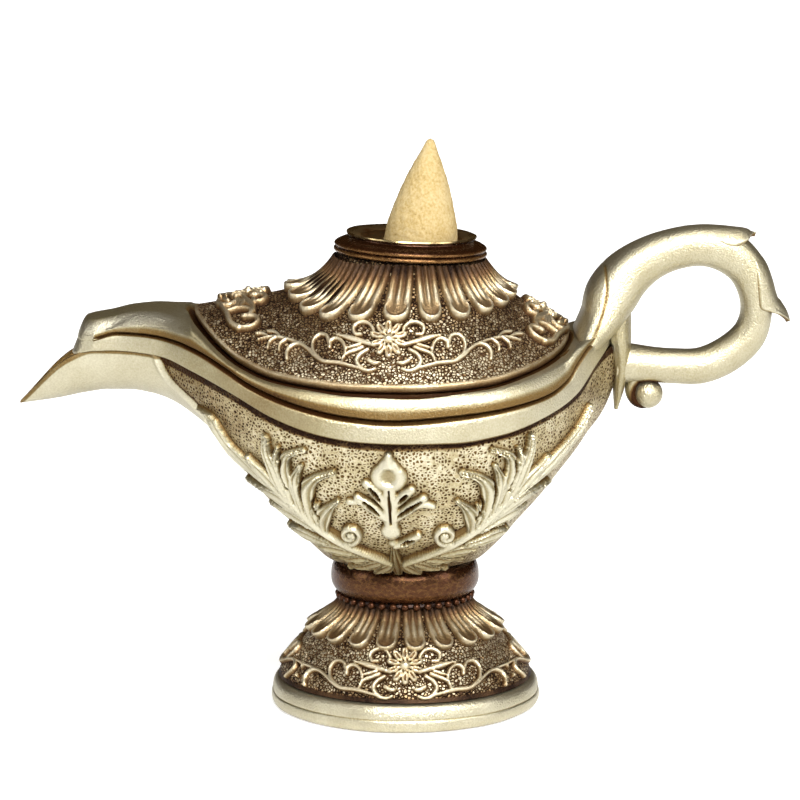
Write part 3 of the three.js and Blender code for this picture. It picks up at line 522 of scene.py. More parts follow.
@dataclass(frozen=True)
class GiltFinish(Finish):
    """Gold lacquer over a brown wash on cast polyester resin, rubbed back by hand.

    The lacquer holds fine metal flake, so it shines like a soft metal with a slight sparkle. The wash stays
    in the hollows and dulls them.
    """

    wash: str
    shade: str
    gold: str
    light: str
    ground: Ground
    pitch: float  # between marks of the worked ground
    bite: float  # how much wash the marks of the ground hold
    depth: float = 0.3  # of the marks
    scatter: float = 0.08  # how differently neighbouring marks are rubbed
    mottle: float = 7.0  # size of the clouds where the rubbing was uneven
    cloud: float = 0.05  # how far the clouds change the gilt
    flake: float = 0.4  # drawn coarser than the real flake, so that it shows
    sparkle: float = 0.05  # how far the flake changes the gilt
    grain: float = 0.16  # height of the flake
    shine: float = 0.3  # roughness of the bare lacquer
    dull: float = 0.55  # roughness of the wash

    def shader(self, add: Adder) -> Any:
        """Add the lacquer's nodes.

        Args:
            add: Adds a node to the material.

        Returns:
            The shader node.
        """
        spot = add("TexCoord").outputs["Object"]
        gilt, stipple = (add("Attribute", attribute_name=name).outputs["Fac"] for name in ("gilt", "stipple"))
        marks = {"Vector": spot, "Scale": self.per_metre(self.pitch), "Randomness": 0.9}
        cells = add("TexVoronoi", marks, feature="DISTANCE_TO_EDGE")
        low, high, first, last = self.ground.value
        mark = add(
            "MapRange",
            {"Value": cells, "From Min": low, "From Max": high, "To Min": first, "To Max": last},
            interpolation_type="SMOOTHSTEP",
        )
        punched = add("Math", {0: mark, 1: stipple}, operation="MULTIPLY")
        glint = add("SeparateColor", {"Color": add("TexVoronoi", marks).outputs["Color"]})
        facing = add("MapRange", {"Value": glint, "To Min": -self.scatter, "To Max": self.scatter})
        scattered = add("Math", {0: facing, 1: stipple}, operation="MULTIPLY")
        clouds = add("TexNoise", {"Vector": spot, "Scale": self.per_metre(self.mottle), "Detail": 4.0})
        grit = add("TexNoise", {"Vector": spot, "Scale": self.per_metre(self.flake), "Detail": 2.0})
        tone = gilt
        for noise, reach in ((clouds, self.cloud), (grit, self.sparkle)):
            span = {"From Min": 0.3, "From Max": 0.7, "To Min": -reach, "To Max": reach}
            share = add("MapRange", {"Value": noise, **span})
            tone = add("Math", {0: tone, 1: share}, operation="ADD")
        tone = add("Math", {0: tone, 1: scattered}, operation="ADD")
        tone = add("Math", {0: punched, 1: -self.bite, 2: tone}, operation="MULTIPLY_ADD", use_clamp=True)
        paints = {0.0: self.wash, 0.35: self.shade, 0.7: self.gold, 1.0: self.light}
        grain = add("Bump", {"Strength": 1.0, "Distance": self.grain * MM, "Height": grit})
        pitted = {"Strength": 1.0, "Distance": self.depth * MM, "Height": punched, "Normal": grain}
        metal = {"Value": tone, "From Max": 0.5, "To Min": 0.2, "To Max": 0.92}
        matt = {"Value": tone, "From Max": 0.35, "To Min": 0.1, "To Max": 0.5}
        return add("BsdfPrincipled", {
            "Base Color": add("ValToRGB", {"Fac": tone}, paints),
            "Metallic": add("MapRange", metal),
            "Roughness": add("MapRange", {"Value": tone, "To Min": self.dull, "To Max": self.shine}),
            "Specular IOR Level": add("MapRange", matt),
            "Normal": add("Bump", pitted, invert=True),
        })


@dataclass(frozen=True)
class BronzeFinish(Finish):
    """Brown bronze lacquer, wiped on round the piece with a cloth.

    The wiping leaves faint clouds that run level round the form, with copper showing where the coat is thin.
    """

    dark: str
    body: str
    copper: str
    streak: float = 0.9  # length of a wiped cloud
    squeeze: float = 1.6  # clouds are this much longer than they are tall

    def shader(self, add: Adder) -> Any:
        """Add the bronze's nodes.

        Args:
            add: Adds a node to the material.

        Returns:
            The shader node.
        """
        spot = add("TexCoord").outputs["Object"]
        gilt = add("Attribute", attribute_name="gilt").outputs["Fac"]
        level = add("Mapping", {"Vector": spot, "Scale": (1.0, 1.0, self.squeeze)})
        streaks = add("TexNoise", {"Vector": level, "Scale": self.per_metre(self.streak), "Detail": 5.0})
        span = {"From Min": 0.3, "From Max": 0.7, "To Min": -0.09, "To Max": 0.09}
        wiped = add("MapRange", {"Value": streaks, **span})
        tone = add("Math", {0: gilt, 1: wiped}, operation="ADD", use_clamp=True)
        return add("BsdfPrincipled", {
            "Base Color": add("ValToRGB", {"Fac": tone}, {0.0: self.dark, 0.5: self.body, 1.0: self.copper}),
            "Metallic": 0.75,
            "Roughness": add("MapRange", {"Value": streaks, "To Min": 0.16, "To Max": 0.36}),
            "Normal": add("Bump", {"Strength": 0.6, "Distance": 0.12 * MM, "Height": streaks}),
        })


@dataclass(frozen=True)
class BrassFinish(Finish):
    """Spun brass sheet.

    The spinning tool leaves fine rings round the axis, and smoke tars the well to a warm brown.
    """

    bright: str
    tarnish: str
    ring: float = 0.5  # between tool marks
    cloud: float = 4.0  # size of the stains

    def shader(self, add: Adder) -> Any:
        """Add the brass's nodes.

        Args:
            add: Adds a node to the material.

        Returns:
            The shader node.
        """
        spot = add("TexCoord").outputs["Object"]
        gilt = add("Attribute", attribute_name="gilt").outputs["Fac"]
        rings = add(
            "TexWave",
            {"Vector": spot, "Scale": self.per_metre(self.ring) / 20, "Distortion": 0.4, "Detail": 1.0},
            wave_type="RINGS",
            rings_direction="Z",
        ).outputs["Fac"]
        clouds = add("TexNoise", {"Vector": spot, "Scale": self.per_metre(self.cloud), "Detail": 4.0})
        stain = add("Math", {0: clouds, 1: gilt}, operation="MULTIPLY", use_clamp=True)
        tone = add("MapRange", {"Value": stain, "From Min": 0.1, "From Max": 0.55})
        colours = {6: hex_to_linear(self.tarnish), 7: hex_to_linear(self.bright)}
        return add("BsdfPrincipled", {
            "Base Color": add("Mix", {0: tone, **colours}, data_type="RGBA").outputs[2],
            "Metallic": 1.0,
            "Roughness": add("MapRange", {"Value": tone, "To Min": 0.5, "To Max": 0.24}),
            "Normal": add("Bump", {"Strength": 0.2, "Distance": 0.03 * MM, "Height": rings}),
        })


@dataclass(frozen=True)
class IncenseFinish(Finish):
    """Sawdust and resin powder, pressed in a cone mould.

    It is dead matt and sandy, with paler and darker grains of wood.
    """

    pale: str
    body: str
    fleck: str
    grain: float = 0.55
    cloud: float = 6.0  # size of the paler and darker patches

    def shader(self, add: Adder) -> Any:
        """Add the powder's nodes.

        Args:
            add: Adds a node to the material.

        Returns:
            The shader node.
        """
        spot = add("TexCoord").outputs["Object"]
        sand = add("TexNoise", {"Vector": spot, "Scale": self.per_metre(self.grain), "Detail": 3.0})
        clouds = add("TexNoise", {"Vector": spot, "Scale": self.per_metre(self.cloud), "Detail": 2.0})
        mixed = add("Math", {0: clouds, 1: 0.5, 2: sand}, operation="MULTIPLY_ADD")
        grains = {0.45: self.fleck, 0.62: self.body, 0.95: self.pale}
        return add("BsdfPrincipled", {
            "Base Color": add("ValToRGB", {"Fac": mixed}, grains),
            "Roughness": 0.95,
            "Specular IOR Level": 0.2,
            "Normal": add("Bump", {"Strength": 0.5, "Distance": 0.12 * MM, "Height": sand}),
        })


@dataclass(frozen=True)
class FeltFinish(Finish):
    """Pressed wool felt: matted fibres with a soft sheen and no weave."""

    body: str
    fibre: str
    fibre_width: float = 0.3

    def shader(self, add: Adder) -> Any:
        """Add the felt's nodes.

        Args:
            add: Adds a node to the material.

        Returns:
            The shader node.
        """
        spot = add("TexCoord").outputs["Object"]
        spread = {"Scale": self.per_metre(self.fibre_width), "Detail": 4.0, "Distortion": 2.0}
        mat = add("TexNoise", {"Vector": spot, **spread})
        colours = {6: hex_to_linear(self.body), 7: hex_to_linear(self.fibre)}
        return add("BsdfPrincipled", {
            "Base Color": add("Mix", {0: mat, **colours}, data_type="RGBA").outputs[2],
            "Roughness": 1.0,
            "Sheen Weight": 0.3,
            "Normal": add("Bump", {"Strength": 0.6, "Distance": 0.15 * MM, "Height": mat}),
        })


CHAMPAGNE = GiltFinish(
    "champagne_gilt_on_cast_resin",
    Slot.PALE_GOLD,
    wash="#341c07",
    shade="#765c30",
    gold="#aba07d",
    light="#d9d3bb",
    ground=Ground.PUNCHED,
    pitch=0.8,
    bite=0.6,
)
PUNCHED_GILT = GiltFinish(
    "champagne_gilt_on_punched_resin",
    Slot.ANTIQUE_GOLD,
    wash="#2a1607",
    shade="#785d33",
    gold="#c0b28c",
    light="#f4ecd2",
    ground=Ground.PUNCHED,
    pitch=0.74,
    bite=0.56,
    cloud=0.12,
)
RUBBED_GILT = GiltFinish(
    "gilt_rubbed_over_brown_wash_on_cast_resin",
    Slot.ANTIQUE_GOLD,
    wash="#180a03",
    shade="#5f4225",
    gold="#a08863",
    light="#e0d4b6",
    ground=Ground.GRAINED,
    pitch=0.7,
    bite=0.76,
    depth=0.45,
    scatter=0.24,
    cloud=0.12,
    shine=0.38,
)
BRONZE = BronzeFinish("wiped_bronze_lacquer_on_cast_resin", Slot.BRONZE, "#100502", "#4a2a15", "#96703f")
BRASS = BrassFinish("spun_brass", Slot.BRASS, bright="#c8b382", tarnish="#643d1a")
INCENSE = IncenseFinish(
    "pressed_incense_powder", Slot.INCENSE, pale="#b9a67c", body="#a8915e", fleck="#877147"
)
FELT = FeltFinish("pressed_wool_felt", Slot.FELT, body="#2c231d", fibre="#55463a")


def place(draft: MeshDraft, node: str, body: Body, finish: Finish, crease: float = 38.0) -> bpy.types.Object:
    """Make the finished piece that stands for a node.

    Args:
        draft: Its mesh.
        node: Node that it replaces.
        body: Body that it moves with.
        finish: Its finish.
        crease: Edges that turn by more degrees than this stay sharp.

    Returns:
        The piece.
    """
    piece = draft.build(f"{node}_finished", crease)
    piece.data.materials.append(finish.material())
    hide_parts(node)
    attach(piece, body.value)
    log.info("%s: %d faces on %s", piece.name, len(piece.data.polygons), body.value)
    return piece


@dataclass
class Relief:
    """Ornament in low relief, drawn over a grid of design coordinates.

    Attributes:
        u: First design coordinate of each point.
        v: Second design coordinate of each point.
        wide: Millimetres per unit of u, at each point.
        tall: Millimetres per unit of v.
        sunk: Height where there is no ornament.
    """

    u: Array
    v: Array
    wide: Array
    tall: float
    sunk: float = 0.0
    height: Array = field(init=False)
    stain: Array = field(init=False)

    def __post_init__(self) -> None:
        """Start with a bare ground."""
        self.height = np.full(self.u.shape, self.sunk)
        self.stain = np.zeros(self.u.shape)

    def nearness(
        self, points: Points, half_width: float, ends: tuple[float, float], belly: float
    ) -> tuple[Array, Array]:
        """Find the points that a stroke covers.

        Args:
            points: The stroke's line, in design coordinates.
            half_width: Half width at its widest, in millimetres.
            ends: Width at the start and at the end, as shares of the widest.
            belly: Where along the line it is widest.

        Returns:
            Flat indices of the covered points, and how far each is from the line, 1 at the stroke's edge.
        """
        draft = np.diff(smooth_path(points, 40), axis=0) * (float(self.wide.max()), self.tall)
        length = float(np.linalg.norm(draft, axis=1).sum())
        line = smooth_path(points, int(np.clip(length / (0.2 * half_width), 16, 280)))
        along = np.linspace(0.0, 1.0, len(line))
        swell = np.where(
            along < belly,
            blend(ends[0], 1.0, smoothstep(0.0, belly, along)),
            blend(1.0, ends[1], smoothstep(belly, 1.0, along)),
        )
        reach = np.array([half_width / float(self.wide.min()), half_width / self.tall])
        low = line.min(axis=0) - reach
        high = line.max(axis=0) + reach
        near = (self.u > low[0]) & (self.u < high[0]) & (self.v > low[1]) & (self.v < high[1])
        across = (self.u[near][:, None] - line[:, 0]) * self.wide[near][:, None]
        up = (self.v[near][:, None] - line[:, 1]) * self.tall
        away = (np.hypot(across, up) / (half_width * swell)).min(axis=1, initial=9.0)
        inside = away < 1.0
        return np.flatnonzero(near)[inside], away[inside]

    def stroke(
        self,
        points: Points,
        half_width: float,
        rise: float,
        ends: tuple[float, float] = (0.6, 0.4),
        belly: float = 0.5,
        fluted: bool = False,
    ) -> None:
        """Draw a rounded ridge along a line.

        Args:
            points: The line, in design coordinates.
            half_width: Half width at its widest, in millimetres.
            rise: Height in millimetres.
            ends: Width at the start and at the end, as shares of the widest.
            belly: Where along the line it is widest.
            fluted: Whether it is a leaf, with a washed flute on each side of its rib and raised edges.
        """
        spots, r = self.nearness(points, half_width, ends, belly)
        flute = np.sin(math.pi * np.minimum(r / 0.86, 1.0)) ** 2 if fluted else 0.0 * r
        ridge = rise * np.sqrt(1.0 - r ** (5 if fluted else 2)) * (1.0 - 0.4 * flute)
        flat = self.height.reshape(-1)
        stain = self.stain.reshape(-1)
        stain[spots] = np.where(ridge > flat[spots], 0.15 * flute, stain[spots])
        flat[spots] = np.maximum(flat[spots], ridge)

    def boss(self, centre: Sequence[float], radius: float, rise: float) -> None:
        """Draw a dome."""
        self.stroke([centre, (centre[0] + 1e-4, centre[1])], radius, rise, ends=(1.0, 1.0))

    def cut(self, points: Points, half_width: float, floor: float, wash: float = 1.0) -> None:
        """Cut a slit or a dish that holds wash.

        Args:
            points: The slit's line, in design coordinates.
            half_width: Half width at its widest, in millimetres.
            floor: Height of its floor.
            wash: How much wash it holds.
        """
        spots, r = self.nearness(points, half_width, (0.6, 0.6), 0.5)
        flat = self.height.reshape(-1)
        flat[spots] = np.minimum(flat[spots], np.maximum(blend(floor, flat[spots], r ** 3), floor))
        stain = self.stain.reshape(-1)
        stain[spots] = np.maximum(stain[spots], wash * (1.0 - r ** 4))

    def tone(
        self, ground: float, crest: Array | float, full: float, wash: float, passes: int
    ) -> Array:
        """Paint the relief: gold on its crests, wash in the hollows round it.

        Args:
            ground: Gilt of the bare ground.
            crest: Gilt of the crests.
            full: Height that is bare gold.
            wash: Strength of the wash.
            passes: How far the wash spreads, in points.

        Returns:
            Gilt of each point.
        """
        lifted = unit(self.height / full)
        return unit(blend(ground, crest, lifted) - wash * hollows(lifted, passes) - self.stain)

    def covered(self) -> Array:
        """Cells of the grid that the ornament covers."""
        h = self.height
        return np.maximum.reduce([h[:-1, :-1], h[1:, :-1], h[:-1, 1:], h[1:, 1:]]) > 0.0


@dataclass(frozen=True)
class ScrollMotif:
    """A flower between vine scrolls, laid on a sloping face.

    The lines are drawn as they look from the front, in millimetres from the flower's middle, for the right
    half.
    """

    facing: float  # direction that the motif looks to
    swing: float  # angle of the flower off that direction
    share: float  # share of the way down the face where the flower sits
    tilt: float  # height of the view in which the lines were drawn
    rise: float  # height of the relief
    gilt: float = 0.98  # how brightly it is rubbed
    weight: float = 1.0  # how much thicker than usual its lines are
    long: bool = True  # whether the vine runs out into a sprig
    span: float = 1.05  # half of the angle that it covers
    petals: int = 10
    step: float = 0.2  # between points
    above: float = 0.27  # share of the face that it may take above the flower
    below: float = 0.35
    sunk: float = 0.35  # depth of its face between the lines
    root: float = 0.6  # depth of its back
    scroll: Strokes = (
        (((3.1, 0.6), (3.2, 2.2), (4.3, 3.4), (6, 3.5), (7.2, 2.5), (6.9, 1.1), (5.7, 1)), 0.5, (0.9, 1.0)),
        (((3.8, -1), (6.4, -0.2), (8.8, 0.5), (11.4, 0.9)), 0.8, (0.8, 0.2)),
        (((13.8, -4.4), (15.5, -2.6), (15.6, -0.4), (14.3, 1), (12.8, 0.7), (12.3, -0.7)), 0.48, (0.9, 1.2)),
        (((9.6, -4.7), (8.9, -2.6), (9.5, -0.6), (10.8, 0.2), (12, -0.4), (12.2, -1.6)), 0.48, (0.9, 1.2)),
        (((5.4, -6.2), (7.6, -5.6), (10.4, -4.9), (13.6, -4.5), (15.6, -3.2)), 0.55, (0.6, 1.0)),
        (((4.3, -2.2), (5.9, -3.2), (6.6, -4.5), (5.7, -6), (4.1, -6.6), (2.7, -6.2)), 0.62, (0.8, 0.6)),
        (((4.1, -4.4), (2.9, -5), (1.7, -4.9)), 0.6, (1.0, 0.4)),
        (((9.4, -3.9), (8.2, -2.8), (6.6, -2.2), (5.4, -1.7)), 0.55, (0.3, 1.0)),
        (((9.2, -2.1), (7.6, -1.6), (6, -1.1)), 0.45, (0.3, 1.0)),
    )
    sprig: Strokes = (
        (((15.4, -3.4), (17, -1.8), (18.6, -0.9), (20.2, -1.3), (21.1, -2.6), (21.1, -4)), 0.5, (1.0, 1.1)),
        (((18.4, -0.9), (21.6, 0.2), (24.6, 0.5), (27.4, -0.2)), 0.42, (0.9, 0.5)),
        (((21.2, 0.1), (22.6, -1), (22.8, -2.2)), 0.48, (0.7, 0.9)),
        (((23.4, 0.5), (24.8, -0.5), (25.2, -1.7)), 0.48, (0.7, 0.9)),
        (((22.4, 0.4), (23.8, 1.5), (25.4, 1.7)), 0.48, (0.7, 0.9)),
        (((25, 0.5), (26.4, 1.2), (27.8, 1.2)), 0.48, (0.7, 0.9)),
    )

    def draw(self, relief: Relief) -> None:
        """Draw the motif.

        Args:
            relief: Ground to draw on, in millimetres from the flower's middle.
        """
        for line, half_width, ends in (*self.scroll, *(self.sprig if self.long else ())):
            for side in (-1, 1):
                relief.stroke([(side * u, v) for u, v in line], self.weight * half_width, self.rise, ends)
        for k in range(self.petals):
            turn = math.tau * (k + 0.5) / self.petals
            c, s = math.cos(turn), math.sin(turn)
            relief.stroke([(1.2 * c, 1.2 * s), (3.3 * c, 3.3 * s)], 0.84, 1.15 * self.rise, (0.4, 0.95))
            relief.cut([(1.9 * c, 1.9 * s), (3.2 * c, 3.2 * s)], 0.3, 0.7 * self.rise, 0.4)
        relief.boss((0.0, 0.0), 1.15, 1.6 * self.rise)

    def place_on(self, face: Face) -> tuple[Array, Array]:
        """Find the flower's place on a face.

        Args:
            face: Gives the points of the face for an angle and a share of the way down it.

        Returns:
            The flower's middle, and the way down the face there, from its top to its bottom.
        """
        turn = np.array(self.facing + self.swing)
        flower = face(turn, np.array(self.share))
        return flower, (face(turn, np.array(self.share + 0.01)) - flower) / 0.01

    def over(self, face: Face, angle: Array, down: Array, sunk: float = 0.0) -> Relief:
        """Draw the motif over a grid of a face.

        Args:
            face: Gives the points of the face for an angle and a share of the way down it.
            angle: Angles of the grid.
            down: Shares of the grid.
            sunk: Height where there is no ornament.

        Returns:
            The relief.
        """
        c, s = math.cos(self.facing), math.sin(self.facing)
        aside = np.array([-s, c, 0.0])
        up = np.array([-c * math.sin(self.tilt), -s * math.sin(self.tilt), math.cos(self.tilt)])
        flower, slope = self.place_on(face)
        off = face(angle, down) - flower
        near = np.cos(angle - self.facing)
        wide = 1.0 / np.clip(near, 0.35, 1.0)
        tall = float(np.linalg.norm(slope) / abs(up @ slope))
        u = np.where(near > 0.2, off @ aside, 99.0)
        relief = Relief(u, off @ up, wide, tall, sunk)
        self.draw(relief)
        return relief

    def shadow(self, face: Face, angle: Array, down: Array) -> Array:
        """Hollows round the motif over a grid of a face, where wash collects."""
        return hollows(unit(self.over(face, angle, down).height / self.rise), 4, 0.3)

    def build(self, face: Face, middle: Points) -> MeshDraft:
        """Lay the motif on a face.

        Args:
            face: Gives the points of the face for an angle and a share of the way down it.
            middle: A point inside the body.

        Returns:
            The mesh.
        """
        flower, slope = self.place_on(face)
        turn = np.arange(-self.span, self.span, self.step / np.hypot(flower[0], flower[1]))
        rows = int((self.above + self.below) * np.linalg.norm(slope) / self.step)
        share = np.linspace(self.share - self.above, min(self.share + self.below, 0.99), rows)
        angle, down = np.meshgrid(self.facing + turn, share, indexing="ij")
        relief = self.over(face, angle, down, -self.sunk)
        ground = face(angle, down)
        return MeshDraft().applied(
            raised(ground, relief.height, middle),
            raised(ground, -self.root, middle),
            relief.covered(),
            self.gilt * relief.tone(0.05, 1.0, 0.8 * self.rise, 0.9, 2),
        )


@dataclass(frozen=True)
class PetalRing:
    """A ring of tongue-shaped petals with rolled edges that lies on a sloping face."""

    count: int
    start: float  # share of the way down the face where the petals start
    phase: float = 0.0  # angle of the first petal
    per_petal: int = 32
    along: int = 72
    thickness: float = 0.9
    curl: float = 1.1  # the tip stands off the face by this
    rounding: float = 0.3  # share of the length taken by the round tip

    def build(self, face: Face, middle: Points, reach: Mover) -> MeshDraft:
        """Make the ring.

        Args:
            face: Gives the points of a face for an angle and a share of the way down it.
            middle: A point inside the body.
            reach: Gives the share where the tips end, by the angle.

        Returns:
            The mesh.
        """
        steps = self.count * self.per_petal
        turn = self.phase + full_turn(steps)
        angle, along = np.meshgrid(turn, np.linspace(0.0, 1.03, self.along), indexing="ij")
        across = 2.0 * np.mod(np.arange(steps) / self.per_petal + 0.5, 1.0) - 1.0
        tip = np.clip((along - (1.0 - self.rounding)) / self.rounding, 0.0, 1.2)
        offset = np.abs(across)[:, None] / blend(0.98, 0.78, smoothstep(0.1, 0.8, along))
        r = np.sqrt(offset ** 2 + tip ** 2.4)
        inside = r < 1.0
        edge = np.minimum(r, 1.0)
        lip = bell(edge, 0.82, 0.12)
        flutes = 0.5 + 0.5 * np.cos(math.tau * 1.7 * np.minimum(offset, 1.0))
        flutes = flutes * (1.0 - smoothstep(0.5, 0.85, along))
        spoon = lip * smoothstep(0.62, 1.0, along)
        stand = 0.2 + self.curl * smoothstep(0.3, 1.0, along) ** 1.4
        relief = 0.2 + 0.5 * lip + 0.5 * flutes + 0.45 * spoon
        height = np.where(inside, np.sqrt(1.0 - edge ** 6) * (stand + self.thickness * relief), -0.35)
        hollow = hollows(unit(height / 2.0), 6)
        bright = 0.1 + 0.6 * smoothstep(0.0, 0.6, along) - 0.2 * smoothstep(0.55, 0.85, along) * (1.0 - lip)
        bright = bright + (0.3 * flutes + 0.12 * lip) * smoothstep(0.02, 0.35, along)
        gilt = unit(bright + 0.6 * spoon - 2.0 * hollow)
        ground = face(angle, self.start + (reach(angle) - self.start) * along)
        inner = raised(ground, -0.7, middle, Wrap.ROWS)
        draft = MeshDraft()
        over = draft.grid(raised(ground, height, middle, Wrap.ROWS), gilt, wrap=Wrap.ROWS)
        under = draft.grid(inner[:, [0, -1]], 0.0, wrap=Wrap.ROWS)
        for a, b in ((over[:, -1], under[:, -1]), (under[:, 0], over[:, 0])):
            wall = np.stack([a, np.roll(a, -1), np.roll(b, -1), b], axis=-1)
            draft.faces.extend(wall.tolist())
        return draft


def turned(
    profile: Points,
    steps: int,
    gilt: Tone | float = 0.8,
    move: Mover | None = None,
    uneven: bool = False,
    wrap: Wrap = Wrap.BOTH,
    into: MeshDraft | None = None,
) -> MeshDraft:
    """Turn a profile round the Z axis.

    Args:
        profile: Points of radius and height.
        steps: Points round the axis.
        gilt: Gilt by radius and height, or of all.
        move: Moves the points from that axis to their place.
        uneven: Whether it is slightly out of round, like a hand-dressed casting.
        wrap: How the grid closes: by rows only where the profile starts and ends on the axis.
        into: Draft that it goes into, a new one if left out.

    Returns:
        The draft.
    """
    line = np.asarray(profile, dtype=float)
    turn = full_turn(steps)[:, None]
    wobble = 0.10 * np.sin(3 * turn + 0.8) + 0.06 * np.sin(7 * turn + 2.1) + 0.04 * np.sin(13 * turn)
    radius = line[:, 0] + uneven * wobble * (line[:, 0] > 1.0)
    points = xyz(radius * np.cos(turn), radius * np.sin(turn), line[:, 1])
    shade = gilt(radius, points[..., 2]) if callable(gilt) else gilt
    draft = into or MeshDraft()
    draft.grid(move(points) if move else points, shade, wrap=wrap)
    return draft


def half_round(radius: float, count: int) -> Array:
    """Profile of a ball."""
    tilt = np.linspace(-math.pi / 2, math.pi / 2, count)
    return radius * xyz(np.cos(tilt), np.sin(tilt))


def leant(points: Array, offset: float, foot: float, lean: float) -> Array:
    """Lean points drawn on the Z axis towards +X and move them there.

    Args:
        points: The points.
        offset: Where on X the axis stands.
        foot: Height of its foot.
        lean: Angle of the lean.

    Returns:
        The moved points.
    """
    x, y, z = np.moveaxis(points, -1, 0)
    c, s = math.cos(lean), math.sin(lean)
    return xyz(offset + c * x + s * z, y, foot - s * x + c * z)


# Half of the rim's outline from above, from the spout's nose round the front to the handle
OUTLINE = (
    (-71.2, 0), (-71.1, -3), (-70.3, -5.6), (-68.2, -7.1), (-60, -8.5), (-52, -12), (-45, -19),
    (-35, -28), (-20, -35.5), (0, -38.2), (20, -34.5), (30, -27), (36, -19.5), (40, -13), (42.3, -8.2),
    (43.6, -4), (44, 0),
)
# Lines of the rim seen from the front: lower edge, groove between the bands, and the seat of the lid
BAND_LOW = Graph((
    (-71, 77), (-66.4, 78.2), (-61.4, 78.3), (-51.6, 77.7), (-44.5, 75.7), (-36.3, 72.6), (-27.3, 68.3),
    (-18.3, 65.5), (-9.2, 64.2), (0, 63.9), (10, 63.9), (20, 65.1), (29.8, 67.9), (36.3, 71), (40.7, 76.1),
    (44.2, 79.8),
))
BAND_LAP = 0.5  # the bowl's edge runs this far up behind the lower band
GROOVE = Graph((
    (-70, 80.5), (-67.1, 80.7), (-61, 82.2), (-56.9, 82.2), (-48.5, 81.5), (-43.8, 80.3), (-37.6, 77.5),
    (-33.3, 75.1), (-27.3, 72.7), (-21.3, 71), (-12.2, 69.3), (-3, 68.6), (13.3, 69.7), (23.2, 70.9),
    (29.8, 72.1), (34.4, 74.7), (36.1, 77.2), (39.7, 81), (44, 82.3),
))
SEAT = Graph((
    (-45, 85.2), (-42.2, 83), (-38.9, 80.4), (-34.8, 78), (-27.8, 75.7), (-19.5, 74.7), (-11.4, 74.1),
    (0, 74.1), (16.8, 74.7), (24.9, 76.1), (33.2, 78.6), (36, 80.8), (40, 82.2), (44, 82.9),
))


@dataclass(frozen=True)
class Oval:
    """An oval plan made of two half ellipses."""

    spout: float
    handle: float
    front: float

    def at(self, turn: Array) -> Array:
        """Points of the oval for an angle of drawing."""
        reach = np.where(np.cos(turn) < 0, self.spout, self.handle)
        return np.stack([reach * np.cos(turn), self.front * np.sin(turn)], axis=-1)

    def scaled(self, x: Array, y: Array) -> tuple[Array, Array]:
        """Coordinates as shares of the oval's half axes."""
        return x / np.where(x < 0, self.spout, self.handle), y / self.front


RIM = Oval(52.0, 46.0, 38.2)
LID_EDGE = Oval(45.0, 35.2, 36.0)
OPENING = Oval(40.0, 30.2, 31.0)
FLANGE = Oval(39.4, 29.6, 30.4)


